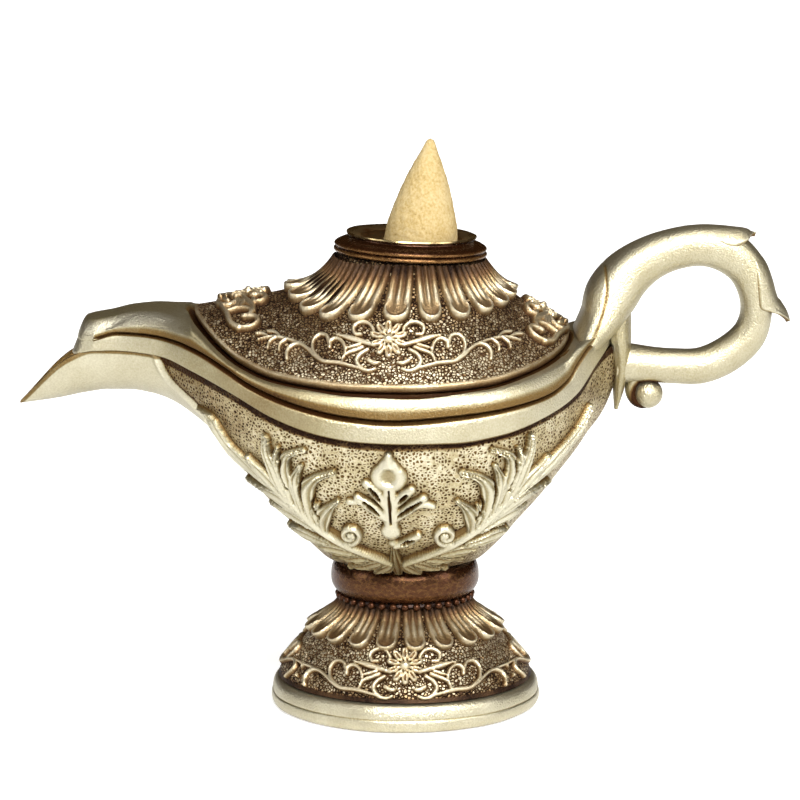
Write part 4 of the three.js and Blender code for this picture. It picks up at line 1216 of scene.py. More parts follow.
@dataclass(frozen=True)
class Hull:
    """The boat-shaped body of bowl and spout: a keel line, a sheer line and a half width along X."""

    keel: Graph = Graph((
        (-82.7, 65.8), (-74.1, 67.1), (-68.3, 68.3), (-63.6, 68.9), (-59.1, 68.9), (-54.3, 68.2),
        (-50, 66.7), (-45.3, 63.8), (-40.8, 60), (-37.8, 56), (-33.6, 51), (-29.6, 46), (-24.8, 41),
        (-20.2, 36), (-15.2, 32), (0, 29.3), (14.6, 32), (19.6, 36), (24, 41), (28.6, 46), (32.6, 51),
        (36.6, 56), (39.4, 60), (41.8, 63), (44.2, 68), (45.8, 74), (46.5, 80),
    ))
    sheer: Graph = Graph((
        (-82.7, 66.3), (-71.4, 76.8), *((x, z + BAND_LAP) for x, z in BAND_LOW.points[1:-1]), (46.5, 80.4),
    ))
    half_width: Graph = Graph((
        (-82.7, 0.5), (-80, 2.6), (-76, 5), (-71, 6.5), (-68.2, 6.7), (-60, 8.1), (-52, 11.1),
        (-45, 17.7), (-35, 26.6), (-20, 34.1), (0, 36.8), (20, 33.1), (30, 25.6), (36, 18.1),
        (40, 11.6), (42.3, 7), (46.5, 3),
    ))
    tip: float = -82.7  # end of the spout
    crest: float = -59.5  # the spout's keel is highest here
    heel: float = 46.5  # end under the handle
    seat: float = 32.45  # the bowl is cut flat here, on the knop
    split: float = -42.0  # bowl and spout meet here
    floor: float = 40.5  # inside of the bowl
    wall: float = 3.2
    spout_wall: float = 1.8

    def section(self, x: Array, turn: Array, inset: float = 0.0) -> Array:
        """Points on the body.

        Args:
            x: Place along the body.
            turn: Angle round the section, 0 at the keel and a quarter turn at each sheer.
            inset: How far inside the face.

        Returns:
            Points in the shape of x and turn.
        """
        width, keel, sheer = self.half_width(x), self.keel(x), self.sheer(x)
        narrowed = np.maximum(width - inset, 0.4 * width)
        lifted = keel + np.minimum(inset, 0.5 * (sheer - keel))
        if inset:
            flat = np.minimum(self.floor, sheer - 2)
            lifted = np.where(sheer > self.floor + 10, np.maximum(lifted, flat), lifted)
        z = np.maximum(lifted + (sheer - lifted) * (1.0 - np.cos(turn)), self.seat)
        return xyz(x, narrowed * np.sin(turn), z)

    def depth_at(self, x: Array, z: Array) -> Array:
        """Half width of the face at a place in the elevation.

        Args:
            x: Places along the lamp.
            z: Heights.

        Returns:
            Half widths.
        """
        keel, sheer = self.keel(x), self.sheer(x)
        share = np.clip((z - keel) / np.maximum(sheer - keel, 1e-3), 0.0, 1.0)
        return self.half_width(x) * np.sqrt(np.maximum(1.0 - (1.0 - share) ** 2, 0.0))

    def side_at(self, z: Array, spout: Array | bool) -> Array:
        """Distance from the middle to the body's side at a height.

        Args:
            z: Heights.
            spout: Whether towards the spout or towards the handle.

        Returns:
            Distances.
        """
        towards_spout = np.linspace(self.crest, 0.0, 240)
        towards_handle = np.linspace(0.0, self.heel, 240)
        left = np.interp(z, self.keel(towards_spout)[::-1], -towards_spout[::-1])
        right = np.interp(z, self.keel(towards_handle), towards_handle)
        return np.where(spout, left, right)

    def unrolled(self, x: Array, z: Array) -> Array:
        """Angle of drawing round the body for a place in the elevation."""
        reach = self.side_at(z, np.asarray(x) < 0)
        return np.arcsin(np.clip(np.asarray(x) / reach, -1.0, 1.0))


HULL = Hull()


@dataclass(frozen=True)
class BowlRelief:
    """Applied relief of the bowl: a palmette in the middle and an acanthus spray on each side.

    Lines are drawn in the front elevation. Sprays are given as distances from their middle line.
    """

    middle: float = -1.5
    rise: float = 1.75
    broad: float = 1.12  # leaves are this much wider than their lines were measured
    step: float = 0.22  # between points of the relief
    radius: float = 34.0  # of the bowl, for the step of the angles
    slope: float = 1.15  # length of the face for each millimetre of height
    sunk: float = 0.4  # depth of the relief's face between the leaves
    root: float = 0.9  # depth of its back
    clear: float = 0.6  # it ends this far under the band
    low: float = 32.7
    high: float = 69.5

    @staticmethod
    def on_bowl(points: Points, middle: float = 0.0, side: int = 1) -> Array:
        """Carry points of the elevation onto the bowl.

        Args:
            points: Points of distance from a middle line, and height.
            middle: Where on X that line stands.
            side: 1 towards the handle, -1 towards the spout.

        Returns:
            Angles of drawing and heights.
        """
        x, z = np.asarray(points, dtype=float).T
        return xyz(HULL.unrolled(middle + side * x, z), z)

    def spray(self, relief: Relief, side: int) -> None:
        """Draw one acanthus spray.

        Args:
            relief: Ground to draw on, in angles of drawing and heights.
            side: 1 towards the handle, -1 towards the spout.
        """
        on_bowl = partial(self.on_bowl, middle=self.middle, side=side)
        rise = self.rise
        for line, half_width in (
            (((21, 48.6), (23.6, 53), (25.4, 57.3), (26.7, 60.7), (27.1, 64.6)), 1.6),
            (((22, 51), (24, 56), (25, 59.6), (24.5, 62.6)), 1.0),
            (((19, 46.6), (21.4, 50), (22.7, 54.3), (23.3, 58.4), (22.3, 61.2), (19.4, 62.4)), 1.9),
            (((19, 47.4), (20.2, 51.6), (20.9, 55.6), (19.8, 59)), 1.5),
            (((16.5, 44.6), (18.5, 49.6), (19, 52.5), (18.2, 54.9), (16.2, 56.8), (13.2, 57.9)), 2.1),
            (((14.8, 43.4), (15.4, 46.8), (14.2, 49.6), (12.2, 51.6)), 1.5),
            (((16, 46), (16.9, 48.6), (16.2, 50.6)), 0.9),
            (((20, 47.6), (24.5, 50.4), (28, 51.8), (31, 52.6)), 1.9),
            (((22.5, 50.2), (26.2, 54), (28.8, 56.8), (30.8, 59)), 2.0),
            (((24, 52), (30, 56), (35.5, 61), (40, 67.6)), 2.1),
            (((17.5, 44.6), (21, 46.2), (24, 47.6), (26, 48.6)), 1.8),
            (((14.5, 41), (18, 41.8), (20.4, 42.4), (22.2, 43.2)), 1.7),
            (((8.8, 38.8), (12.2, 39.2), (16, 39.8)), 1.5),
            (((6, 37.6), (9.6, 37), (13.2, 37)), 1.3),
            (((3.4, 36.6), (6.4, 35), (10, 34.4)), 1.3),
            (((1, 36.2), (2.4, 34.6), (4.6, 33.2)), 1.2),
        ):
            relief.stroke(on_bowl(line), self.broad * half_width, rise, (0.5, 0.36), 0.5, fluted=True)
        relief.stroke(on_bowl([(3, 36.4), (11, 40.4), (18, 45), (23, 50.4)]), 3.6, 0.4 * rise, (0.4, 0.6))
        stem = ((1.4, 36.6), (10, 40.6), (15.2, 44), (19.2, 47.8), (22.8, 51.8))
        relief.stroke(on_bowl(stem), 1.0, 1.15 * rise, (0.6, 0.5))
        turn = np.linspace(0.8, -0.6, 24) * math.tau
        reach = 2.3 * np.linspace(1.0, 0.25, len(turn))
        volute = np.column_stack([9.8 + reach * np.cos(turn), 43.6 + reach * np.sin(turn)])
        relief.stroke(on_bowl(volute), 0.72, rise, (0.9, 0.9))
        relief.boss(on_bowl([(9.8, 43.6)])[0], 0.85, rise)
        for line in (
            ((15.8, 47.2), (17.3, 50.2), (17, 52.4)),
            ((18.6, 44.3), (20.4, 45.1), (22, 45.6)),
            ((18.9, 49.6), (19.9, 53.4), (19.4, 56.6)),
            ((22.3, 53.4), (23.9, 57.8), (24, 60.6)),
            ((23.2, 50.6), (26, 53), (28.6, 54.6)),
        ):
            relief.cut(on_bowl(line), 0.36, 0.3, 0.6)

    def palmette(self, relief: Relief) -> None:
        """Draw the palmette.

        Args:
            relief: Ground to draw on, in angles of drawing and heights.
        """
        on_bowl = self.on_bowl
        rise = self.rise
        relief.boss(on_bowl([(-3.4, 57)])[0], 4.0, 1.1 * rise)
        relief.stroke(on_bowl([(-3.4, 61.8), (-3.4, 59), (-3.4, 56)]), 3.0, 1.1 * rise, (0.3, 0.9), 0.7)
        relief.cut(on_bowl([(-3.4, 58), (-3.4, 56.6)]), 2.2, 0.5 * rise, 0.12)
        relief.stroke(on_bowl([(-3.3, 54.6), (-3, 49.6), (-2.8, 45.4)]), 1.8, rise, (0.9, 0.9))
        for line, half_width in (
            (((-3.9, 50.8), (-6, 53.6), (-7.9, 55.6)), 1.5),
            (((-3.8, 47.8), (-6.8, 50.3), (-9.6, 52.4)), 1.5),
            (((-7.6, 50.4), (-9.6, 51.6), (-11.4, 51.5)), 1.1),
            (((-2.4, 50.8), (-0.6, 52.8), (1.2, 54.4)), 1.45),
            (((-2.1, 47.8), (0.9, 50.2), (3.7, 52.4)), 1.5),
            (((1.4, 50.4), (3.6, 51.2), (5.6, 50.7)), 1.1),
            (((-1.8, 41.2), (0.6, 42.2), (2.6, 43.6)), 1.3),
        ):
            relief.stroke(on_bowl(line), half_width, 0.9 * rise, (0.8, 0.8), 0.6)
        for slit in (
            ((-7.1, 54.8), (-5.2, 52.2)),
            ((-8.3, 51.7), (-5.4, 49)),
            ((-1.1, 51.9), (0.2, 53.4)),
            ((-1.3, 48.7), (3.1, 51.9)),
            ((-0.6, 41.8), (1.6, 42.9)),
        ):
            relief.cut(on_bowl(slit), 0.55, 0.1)
        relief.cut(on_bowl([(-3.3, 54.4), (-2.9, 47)]), 0.34, 0.5 * rise, 0.7)
        relief.boss(on_bowl([(-2.9, 44.8)])[0], 2.2, 1.3 * rise)
        relief.boss(on_bowl([(-2.5, 41.8)])[0], 1.1, 0.8 * rise)
        tail = on_bowl([(-2.4, 41), (-2, 37), (-1.4, 33.4)])
        relief.stroke(tail, 1.4, 0.9 * rise, (0.4, 0.7), 0.7, fluted=True)

    def shading(self, points: Array) -> Relief:
        """Draw all the relief over the hull's own points, for the wash round it.

        Args:
            points: Grid of the hull.

        Returns:
            The relief over that grid.
        """
        x, z = points[..., 0], points[..., 2]
        reach = HULL.side_at(z, x < 0)
        relief = Relief(HULL.unrolled(x, z), z, reach, tall=self.slope)
        self.palmette(relief)
        for side in (-1, 1):
            self.spray(relief, side)
        return relief

    def piece(self, draw: Callable[[Relief], None], span: tuple[float, float], face: int) -> MeshDraft:
        """Make one applied ornament.

        Args:
            draw: Draws it.
            span: Its least and greatest angle of drawing.
            face: FRONT or BACK.

        Returns:
            The mesh.
        """
        heights = np.arange(self.low, self.high, self.step)
        angles = np.arange(span[0], span[1], self.step / self.radius)
        a, z = np.meshgrid(angles, heights, indexing="ij")
        reach = HULL.side_at(z, a < 0)
        x = reach * np.sin(a)
        ground = xyz(x, face * HULL.depth_at(x, z), z)
        relief = Relief(a, z, reach, tall=self.slope, sunk=-self.sunk)
        draw(relief)
        below_band = z < HULL.sheer(x) - self.clear
        keep = relief.covered() & below_band[:-1, :-1] & below_band[1:, 1:]
        middle = xyz(0.55 * x, 0.0, 0.5 * (z + 62))
        return MeshDraft().applied(
            raised(ground, relief.height, middle),
            raised(ground, -self.root, middle),
            keep,
            relief.tone(0.05, blend(0.68, 1.06, smoothstep(35, 46, z)), 0.8 * self.rise, 1.4, 3),
        )


@dataclass
class LampBody:
    """Bowl, spout and the two rim bands."""

    columns: int = 241
    relief: BowlRelief = field(default_factory=BowlRelief)
    stipple_edge: Graph = Graph((
        (50, -33), (57.5, -38), (63.5, -41), (68.5, -45.3), (73.5, -50.9), (76.7, -52.6), (79, -53.2)
    ))
    border: float = 0.6  # half width of the bead that frames the punched ground
    hood: Graph = Graph((
        (-71, 84.4), (-68.3, 85), (-66.4, 85.5), (-62.9, 86.1), (-57.8, 87.2), (-53.3, 87.5), (-49, 87.1),
        (-45.3, 86.6),
    ))
    slot: float = 0.36  # half of the open groove between the bands
    groove_depth: float = 1.7
    gap_depth: float = 0.8  # the upper band sinks this much beside the lid
    rim_points: int = 760
    search: int = 45  # points of the rim on each side that are searched for the nearest
    blur: int = 40  # passes that even out the distance to the rim
    swell: float = 0.95  # the lower band stands out from its edges by this
    sink: float = 0.75  # its edges lie this far inside the outline
    band_width: float = 4.5  # of the lower band, from above
    seat_gap: float = 1.2  # the bowl's rim stays this far under the seat
    handle_end: float = 20.0  # beyond this the bowl's rim runs under the seat
    gilt: float = 0.84  # of the bands
    edge_shade: float = 0.75  # painted shade along the lower band's edges, under it and at the groove
    nose_lean: float = 1.4  # how far the lower band leans back at the spout's nose
    nose_slope: float = 2.2  # how far the hood needs to rise at the nose
    rounding: Graph = Graph((
        (-71, 4.5), (-50, 4.5), (-40, 3.6), (-20, 2.6), (0, 2.3), (20, 2.6), (33, 4), (44, 5),
    ))

    def hull_part(self, start: float, end: float, rows: int, inset: float, node: str, finish: Finish) -> None:
        """Make the bowl or the spout.

        Args:
            start: Where along X it starts.
            end: Where it ends.
            rows: Sections along it.
            inset: Wall thickness.
            node: Its node.
            finish: Its finish.
        """
        x = np.linspace(start, end, rows)[:, None]
        turn = np.linspace(-math.pi / 2, math.pi / 2, self.columns)[None, :]
        outside = HULL.section(x, turn)
        inside = HULL.section(x, np.linspace(math.pi / 2, -math.pi / 2, 41)[None, :], inset)
        for surface in (outside, inside):
            at, height = surface[..., 0], surface[..., 2]
            under_seat = np.where(at > self.handle_end, SEAT(at) - self.seat_gap, height)
            surface[..., 2] = np.minimum(height, under_seat)
        place_x, z = outside[..., 0], outside[..., 2]
        beyond = place_x - self.stipple_edge(z)
        punched = smoothstep(0.9, 1.6, beyond)
        high = smoothstep(48, 57, z)
        bead = bell(beyond, 0.0, self.border) * high
        lifted = unit(self.relief.shading(outside).height / self.relief.rise)
        # Painted shade towards both ends of the punched ground, deeper on the spout side; the ground is also
        # darker towards the bottom.
        ends = smoothstep(16, 42, np.abs(place_x + 1.5)) * punched * np.where(place_x < 0, 1.0, 0.5)
        low = 1.0 - smoothstep(34, 46, z)
        reach = blend(0.85, 0.45, smoothstep(0, 22, place_x)) * punched
        # Painted shadow on the bowl just under the lower band.
        shadow_under_band = smoothstep(1.2, 0.8, HULL.sheer(place_x) - z - reach)
        framed = bell(beyond, 1.7, 0.4) * high
        gilt = 0.9 - (0.12 + 0.3 * ends + 0.2 * low) * punched - 0.9 * hollows(lifted, 5, 0.4)
        gilt = gilt - (0.5 + 0.4 * punched) * shadow_under_band + 0.1 * bead - 0.4 * framed
        face = raised(outside, 0.65 * bead, xyz(0.7 * place_x, 0.0, 70.0))
        draft = MeshDraft().bar((face, unit(gilt), punched), (inside, 0.3, 0.0))
        place(draft, node, Body.LAMP, finish)

    @staticmethod
    def outline(count: int) -> tuple[Array, Array]:
        """Rim outline from above.

        Args:
            count: Number of points.

        Returns:
            Points, and their outward normals.
        """
        back = [(x, -y) for x, y in OUTLINE[-2:0:-1]]
        ring = smooth_path([*OUTLINE, *back], count, closed=True)
        step = np.roll(ring, -1, axis=0) - np.roll(ring, 1, axis=0)
        normal = np.column_stack([step[:, 1], -step[:, 0]])
        normal /= np.linalg.norm(normal, axis=1, keepdims=True)
        return ring, normal

    @staticmethod
    def nose(x: Array) -> Array:
        """How far the groove between the bands has run out, 1 at the spout's nose."""
        return smoothstep(-66.0, -67.8, x)

    def opened(self, x: Array) -> Array:
        """Half of the open groove between the bands, which runs out at the spout's nose."""
        taper = blend(0.4, 1.0, smoothstep(-58.0, -34.0, x)) * blend(1.0, 0.55, smoothstep(4.0, 24.0, x))
        return self.slot * taper * (1.0 - self.nose(x))

    @staticmethod
    def shade_towards_spout(x: Array) -> Array:
        """Painted shade on the bands where they curve up to the spout."""
        return 0.28 * bell(x, -30.0, 15.0)

    def lower_band(self) -> None:
        """Make the square-edged band under the groove."""
        ring, normal = self.outline(self.rim_points)
        share = (1.0 - np.cos(np.linspace(0.0, math.pi, 26))) / 2.0
        lean = self.nose_lean * self.nose(ring[:, 0])[:, None] * share
        flush = self.nose(ring[:, 0])[:, None] * (share > 0.5)
        swell = self.swell * np.sqrt(np.maximum(1.0 - np.abs(2.0 * share - 1.0) ** 6, 0.0))
        swell = blend(swell, self.swell, flush) - self.sink
        low = BAND_LOW(ring[:, 0])[:, None]
        open_groove = self.opened(ring[:, :1])
        high = GROOVE(ring[:, 0])[:, None] - open_groove
        outer = xyz(
            ring[:, :1] + normal[:, :1] * swell + lean,
            ring[:, 1:] + normal[:, 1:] * swell,
            low + (high - low) * share,
        )
        medial = np.column_stack([np.clip(ring[:, 0], -60, 36), np.zeros(len(ring))])
        pull = medial - ring
        length = np.linalg.norm(pull, axis=1, keepdims=True)
        inward = ring + pull * np.minimum(self.band_width / length, 0.9)
        shelf = (high + 2.0 * open_groove)[:, 0]
        inner = np.stack(
            [
                np.column_stack([ring - self.groove_depth * normal + lean[:, -1:] * (1.0, 0.0), shelf]),
                np.column_stack([inward, shelf]),
                np.column_stack([inward, low[:, 0]]),
            ],
            axis=1,
        )
        # Painted shade along both edges of the band: under it, where it overhangs the bowl, and at the
        # groove.
        dark = smoothstep(0.1, 0.03, share) + smoothstep(0.9, 0.97, share) * (1.0 - flush)
        gilt = self.gilt - self.edge_shade * dark - self.shade_towards_spout(ring[:, :1])
        draft = MeshDraft().ring((outer, gilt, 0.0), (inner, 0.0, 0.0))
        place(draft, "rim_band_lower", Body.LAMP, CHAMPAGNE)

    def from_edge(self, edge: Array, plan: Array) -> Array:
        """Distance of the upper band's points to its outer edge, evened out away from the edge.

        Args:
            edge: Points of the edge from above.
            plan: Grid of the band from above.

        Returns:
            Distance of each point.
        """
        spots = [np.roll(edge, k, axis=0)[:, None, :] for k in range(-self.search, self.search + 1)]
        away = np.min([np.linalg.norm(plan - spot, axis=2) for spot in spots], axis=0)
        seam = self.blur + 20
        padded = np.concatenate([away[-seam:], away, away[:seam]])
        return blend(away, soften(padded, self.blur)[seam:-seam], smoothstep(0.3, 1.6, away))

    def upper_band(self) -> None:
        """Make the band over the groove, with the seat of the lid and the hood over the spout."""
        ring, normal = self.outline(self.rim_points)
        flush = self.nose(ring[:, 0])[:, None]
        ring = ring + 0.2 * flush * normal + np.array([self.nose_lean, 0.0]) * flush
        x_share, y_share = RIM.scaled(ring[:, 0], ring[:, 1])
        opening = OPENING.at(np.arctan2(y_share, x_share))
        share = np.linspace(0.0, 1.0, 46) ** 1.9
        start = ring - 0.12 * (1.0 - flush) * normal
        plan = start[:, None, :] + (opening - start)[:, None, :] * share[None, :, None]
        x, y = plan[..., 0], plan[..., 1]
        away = self.from_edge(start, plan)
        steep = smoothstep(-54.0, -68.5, x)
        near = np.minimum(away / blend(self.rounding(ring[:, 0])[:, None], self.nose_slope, steep), 1.0)
        power = blend(2.4, 1.5, steep)
        rise = (1.0 - (1.0 - near) ** power) ** (1 / power)
        half = np.maximum(HULL.half_width(x) + 1.2, 1.0)
        crowned = self.hood(x) - 1.9 * np.minimum((y / half) ** 2, 1.0)
        flat = blend(crowned, SEAT(x), smoothstep(-46.6, -44.6, x))
        foot = (GROOVE(ring[:, 0]) + self.opened(ring[:, 0]))[:, None]
        edge = 0.35 * (1.0 - flush)
        z = foot + edge + (flat - foot - edge) * rise
        beside = LID_EDGE.front * (np.hypot(*LID_EDGE.scaled(x, y)) - 1.0)
        gap = smoothstep(26.0, 12.0, x) * smoothstep(1.3, 0.5, beside) * smoothstep(-1.2, -0.5, beside)
        z = z - self.gap_depth * gap
        top = np.concatenate([plan, z[..., None]], axis=2)
        groove = np.column_stack([ring - 0.6 * (1.0 - flush) * normal, foot[:, 0] - 0.15 * flush[:, 0]])
        sill = np.minimum(GROOVE(ring[:, 0]), SEAT(opening[:, 0]) - 2.0) + 0.1
        wall = np.column_stack([opening, sill])
        under = np.column_stack([blend(ring, opening, 0.25), foot[:, 0]])
        # Painted shadow on the band beside the lid's rim, and painted shade along its edge at the groove.
        gilt = self.gilt * (1.0 - smoothstep(1.3, 0.7, beside))
        gilt = gilt - 0.5 * smoothstep(0.08, 0.0, near) * (1.0 - flush)
        # Painted shade where the bands curve up to the spout; on the hood, painted shade on its top and a
        # painted highlight along its side.
        on_hood = smoothstep(-46.0, -51.0, x)
        gilt = gilt - self.shade_towards_spout(x) * (1.0 - on_hood) - 0.16 * on_hood * smoothstep(0.7, 1.0, near)
        gilt = gilt + 0.18 * on_hood * bell(near, 0.4, 0.25)
        inner = np.stack([wall, under], axis=1)
        lip = (groove[:, None], 0.08 + 0.7 * flush, 0.0)
        draft = MeshDraft().ring(lip, (top, gilt, 0.0), (inner, 0.2, 0.0))
        place(draft, "rim_band_upper", Body.LAMP, CHAMPAGNE)

    def build(self) -> None:
        """Make all pieces of the body."""
        self.hull_part(HULL.split, HULL.heel, 250, HULL.wall, "bowl", PUNCHED_GILT)
        self.hull_part(HULL.tip, HULL.split, 120, HULL.spout_wall, "spout_trough", CHAMPAGNE)
        self.lower_band()
        self.upper_band()
        for name, face in (("front", FRONT), ("back", BACK)):
            draft = self.relief.piece(self.relief.palmette, (-0.55, 0.3), face)
            place(draft, f"palmette_{name}", Body.LAMP, CHAMPAGNE, 60.0)
            for label, side, span in (("handle", 1, (-0.12, 1.5)), ("spout", -1, (-1.45, 0.03))):
                draft = self.relief.piece(partial(self.relief.spray, side=side), span, face)
                place(draft, f"acanthus_{name}_{label}_side", Body.LAMP, CHAMPAGNE, 60.0)


@dataclass(frozen=True)
class Strand:
    """A bar that follows a line in the middle plane.

    Attributes:
        stations: Rows of x, z, half thickness in the plane and half depth across it. A leaf's rows end with
            half of its spread in degrees.
        squareness: Exponent of the rounded section at the start and at the end.
    """

    stations: tuple[tuple[float, ...], ...]
    squareness: tuple[float, float] = (2.6, 2.1)

    def grid(self, rows: int, columns: int, spread: tuple[float, float] = (-math.pi, math.pi)) -> Array:
        """Sweep the section along the line.

        Args:
            rows: Sections along the line.
            columns: Points round the section.
            spread: Angles round the section where it starts and ends, 0 on the left of the line, or shares of
                the spread of a leaf.

        Returns:
            Grid of points.
        """
        line = smooth_path(self.stations, rows)
        step = np.gradient(line[:, :2], axis=0)
        step /= np.linalg.norm(step, axis=1, keepdims=True)
        whole = spread[1] - spread[0] >= math.tau
        turn = np.linspace(spread[0], spread[1], columns, endpoint=not whole)[None, :]
        if line.shape[1] > 4:
            turn = turn * np.radians(line[:, 4:5])
        power = 2.0 / np.linspace(self.squareness[0], self.squareness[1], rows)[:, None]
        out = np.sign(np.cos(turn)) * np.abs(np.cos(turn)) ** power * line[:, 2:3]
        across = np.sign(np.sin(turn)) * np.abs(np.sin(turn)) ** power * line[:, 3:4]
        return xyz(line[:, :1] - step[:, 1:] * out, across, line[:, 1:2] + step[:, :1] * out)

    def spine(self, rows: int) -> Array:
        """Points of the line itself, shaped to go with the grid."""
        line = smooth_path(self.stations, rows)
        return xyz(line[:, 0], 0.0, line[:, 1])[:, None]


@dataclass
class Handle:
    """The loop handle with its leaves and the ball in its scroll."""

    loop: Strand = Strand((
        (38.5, 79.9, 2.9, 14.6), (39.7, 81.5, 3.5, 12.9), (41.9, 84.7, 4.57, 10.2), (44.1, 89.3, 5.6, 8.2),
        (47.1, 93.4, 5.35, 6.9), (51.5, 96.8, 4.76, 5.9), (56.7, 99, 4.4, 5.3), (62.9, 100, 4.4, 5.0),
        (68, 99.1, 4.6, 4.8), (72.6, 95.5, 4.2, 4.6), (74.9, 89.9, 3.6, 4.5), (75.1, 85.1, 3.4, 4.3),
        (73.7, 80.7, 3.65, 4.2), (69.4, 76.6, 3.85, 4.2), (63.6, 74, 3.85, 4.2), (57.5, 73.9, 3.75, 4.2),
        (53, 74.2, 3.8, 4.3), (48.5, 74.5, 4.2, 4.6), (45.4, 74.7, 4.4, 4.7),
    ))
    root_leaf: Strand = Strand((
        (45.4, 85.7, 3, 6.2), (45.9, 79.8, 2.6, 6), (46.3, 74.9, 1.9, 5.2), (46, 69.9, 1.3, 3.6),
        (45.4, 64.5, 0.35, 0.8),
    ), (2.2, 2.2))
    thumb_leaf: Strand = Strand((
        (60, 99.7, 4.35, 5.15, 15), (63.4, 100, 4.4, 5.0, 50), (66.6, 99.7, 4.6, 4.9, 72),
        (69.2, 99.2, 4.85, 4.7, 78), (71.2, 98.8, 4.95, 4.3, 68), (73, 98.5, 4.65, 3.5, 44),
        (74.8, 98.5, 4.1, 2.2, 8),
    ), (2.1, 2.1))
    spur_leaf: Strand = Strand((
        (71.3, 96.6, 4.3, 4.7, 35), (73.2, 94.4, 4.3, 4.7, 68), (74.5, 91.4, 4.2, 4.7, 82),
        (75.2, 88.6, 4.3, 4.7, 88), (75.7, 86.8, 4.5, 4.6, 88), (76.4, 85.4, 4.7, 4.2, 70),
        (77.1, 83.8, 4.9, 3.4, 42), (77.6, 82.2, 4.9, 2.4, 8),
    ), (2.1, 2.1))
    groove: tuple[tuple[float, float], ...] = (
        (36.1, 77.9), (39.6, 81.6), (41.4, 85.4), (42.7, 90.3), (42.5, 96)
    )
    ball: tuple[float, float] = (52.2, 67.9)
    ball_radius: float = 3.2
    leaf_thickness: float = 0.7
    rows: int = 480  # sections along the loop
    line_depth: float = 0.18  # of the engraved line
    line_width: float = 0.26

    def shade_by_ball(self, points: Array) -> Array:
        """Painted shade in the cavity round the ball."""
        away = np.linalg.norm(points - np.array([self.ball[0], 0.0, self.ball[1]]), axis=-1)
        return 0.85 * smoothstep(5.0, 4.0, away)

    def bar(self) -> None:
        """Make the loop with the engraved line at its root and the horn round the ball."""
        grid = self.loop.grid(self.rows, 112)
        line = distance_to(self.groove, grid[..., 0], grid[..., 2], 3.0)
        cut = bell(line, 0.0, self.line_width) * smoothstep(1.0, 4.0, np.abs(grid[..., 1]))
        face = raised(grid, -self.line_depth * cut, self.loop.spine(self.rows), Wrap.COLUMNS)
        draft = MeshDraft().bar((face, 0.82 - 0.6 * cut - self.shade_by_ball(grid), 0.0))
        turn = np.radians(np.linspace(112, 272, 9))
        reach = np.linspace(4.6, 2.3, 9)
        horn = Strand(tuple(
            (self.ball[0] + r * math.cos(t), self.ball[1] + r * math.sin(t), h, d)
            for t, r, h, d in zip(turn, reach, np.linspace(1.5, 0.7, 9), np.linspace(2.7, 1.3, 9))
        ), (2.2, 2.2))
        curl = horn.grid(60, 36)
        draft.bar((curl, 0.8 - self.shade_by_ball(curl), 0.0))
        place(draft, "handle_loop", Body.LAMP, CHAMPAGNE)

    def leaf(self, strand: Strand, node: str) -> None:
        """Make a leaf that lies flush on the outside of the loop and lifts off it at its tip.

        Args:
            strand: Line of the leaf, with half of its spread in degrees as the last value.
            node: Its node.
        """
        rows, columns = 150, 49
        sheet = strand.grid(rows, columns, (-1.0, 1.0))
        across = np.abs(np.linspace(-1.0, 1.0, columns))[None, :]
        along = np.linspace(0.0, 1.0, rows)[:, None]
        free = smoothstep(0.6, 0.9, along)
        rim = bell(across, 0.88, 0.12) * (0.35 + 0.65 * free)
        rib = bell(across, 0.0, 0.16) * free
        lift = 0.1 + 0.2 * rim + 0.15 * rib - 0.25 * smoothstep(0.9, 1.0, across) * (1.0 - free)
        over = raised(sheet, lift, strand.spine(rows))
        under = raised(sheet, -self.leaf_thickness, strand.spine(rows))[:, ::-1]
        gilt = 0.8 + 0.12 * rim - 0.45 * smoothstep(0.93, 1.0, across)
        draft = MeshDraft().bar((over, gilt, 0.0), (under, 0.2, 0.0))
        place(draft, node, Body.LAMP, CHAMPAGNE)

    def root(self) -> None:
        """Make the leaf that hangs at the handle's root."""
        rows, columns = 110, 72
        turn = np.abs(np.linspace(-math.pi, math.pi, columns, endpoint=False))
        rim = bell(turn, 2.2, 0.16) + bell(turn, math.pi, 0.2)
        rim = rim * np.linspace(1.0, 0.2, rows)[:, None]
        leaf = self.root_leaf.grid(rows, columns)
        leaf = raised(leaf, 0.4 * rim, self.root_leaf.spine(rows), Wrap.COLUMNS)
        place(MeshDraft().bar((leaf, 0.72 + 0.2 * rim, 0.0)), "handle_root_leaf", Body.LAMP, CHAMPAGNE)

    def scroll_ball(self) -> None:
        """Make the ball in the scroll."""
        centre = np.array([self.ball[0], 0.0, self.ball[1]])
        ball = turned(half_round(self.ball_radius, 41), 64, move=lambda p: p + centre, wrap=Wrap.ROWS)
        place(ball, "handle_ball", Body.LAMP, CHAMPAGNE)

    def build(self) -> None:
        """Make all pieces of the handle."""
        self.bar()
        self.leaf(self.thumb_leaf, "handle_thumb_leaf")
        self.leaf(self.spur_leaf, "handle_spur_leaf")
        self.root()
        self.scroll_ball()


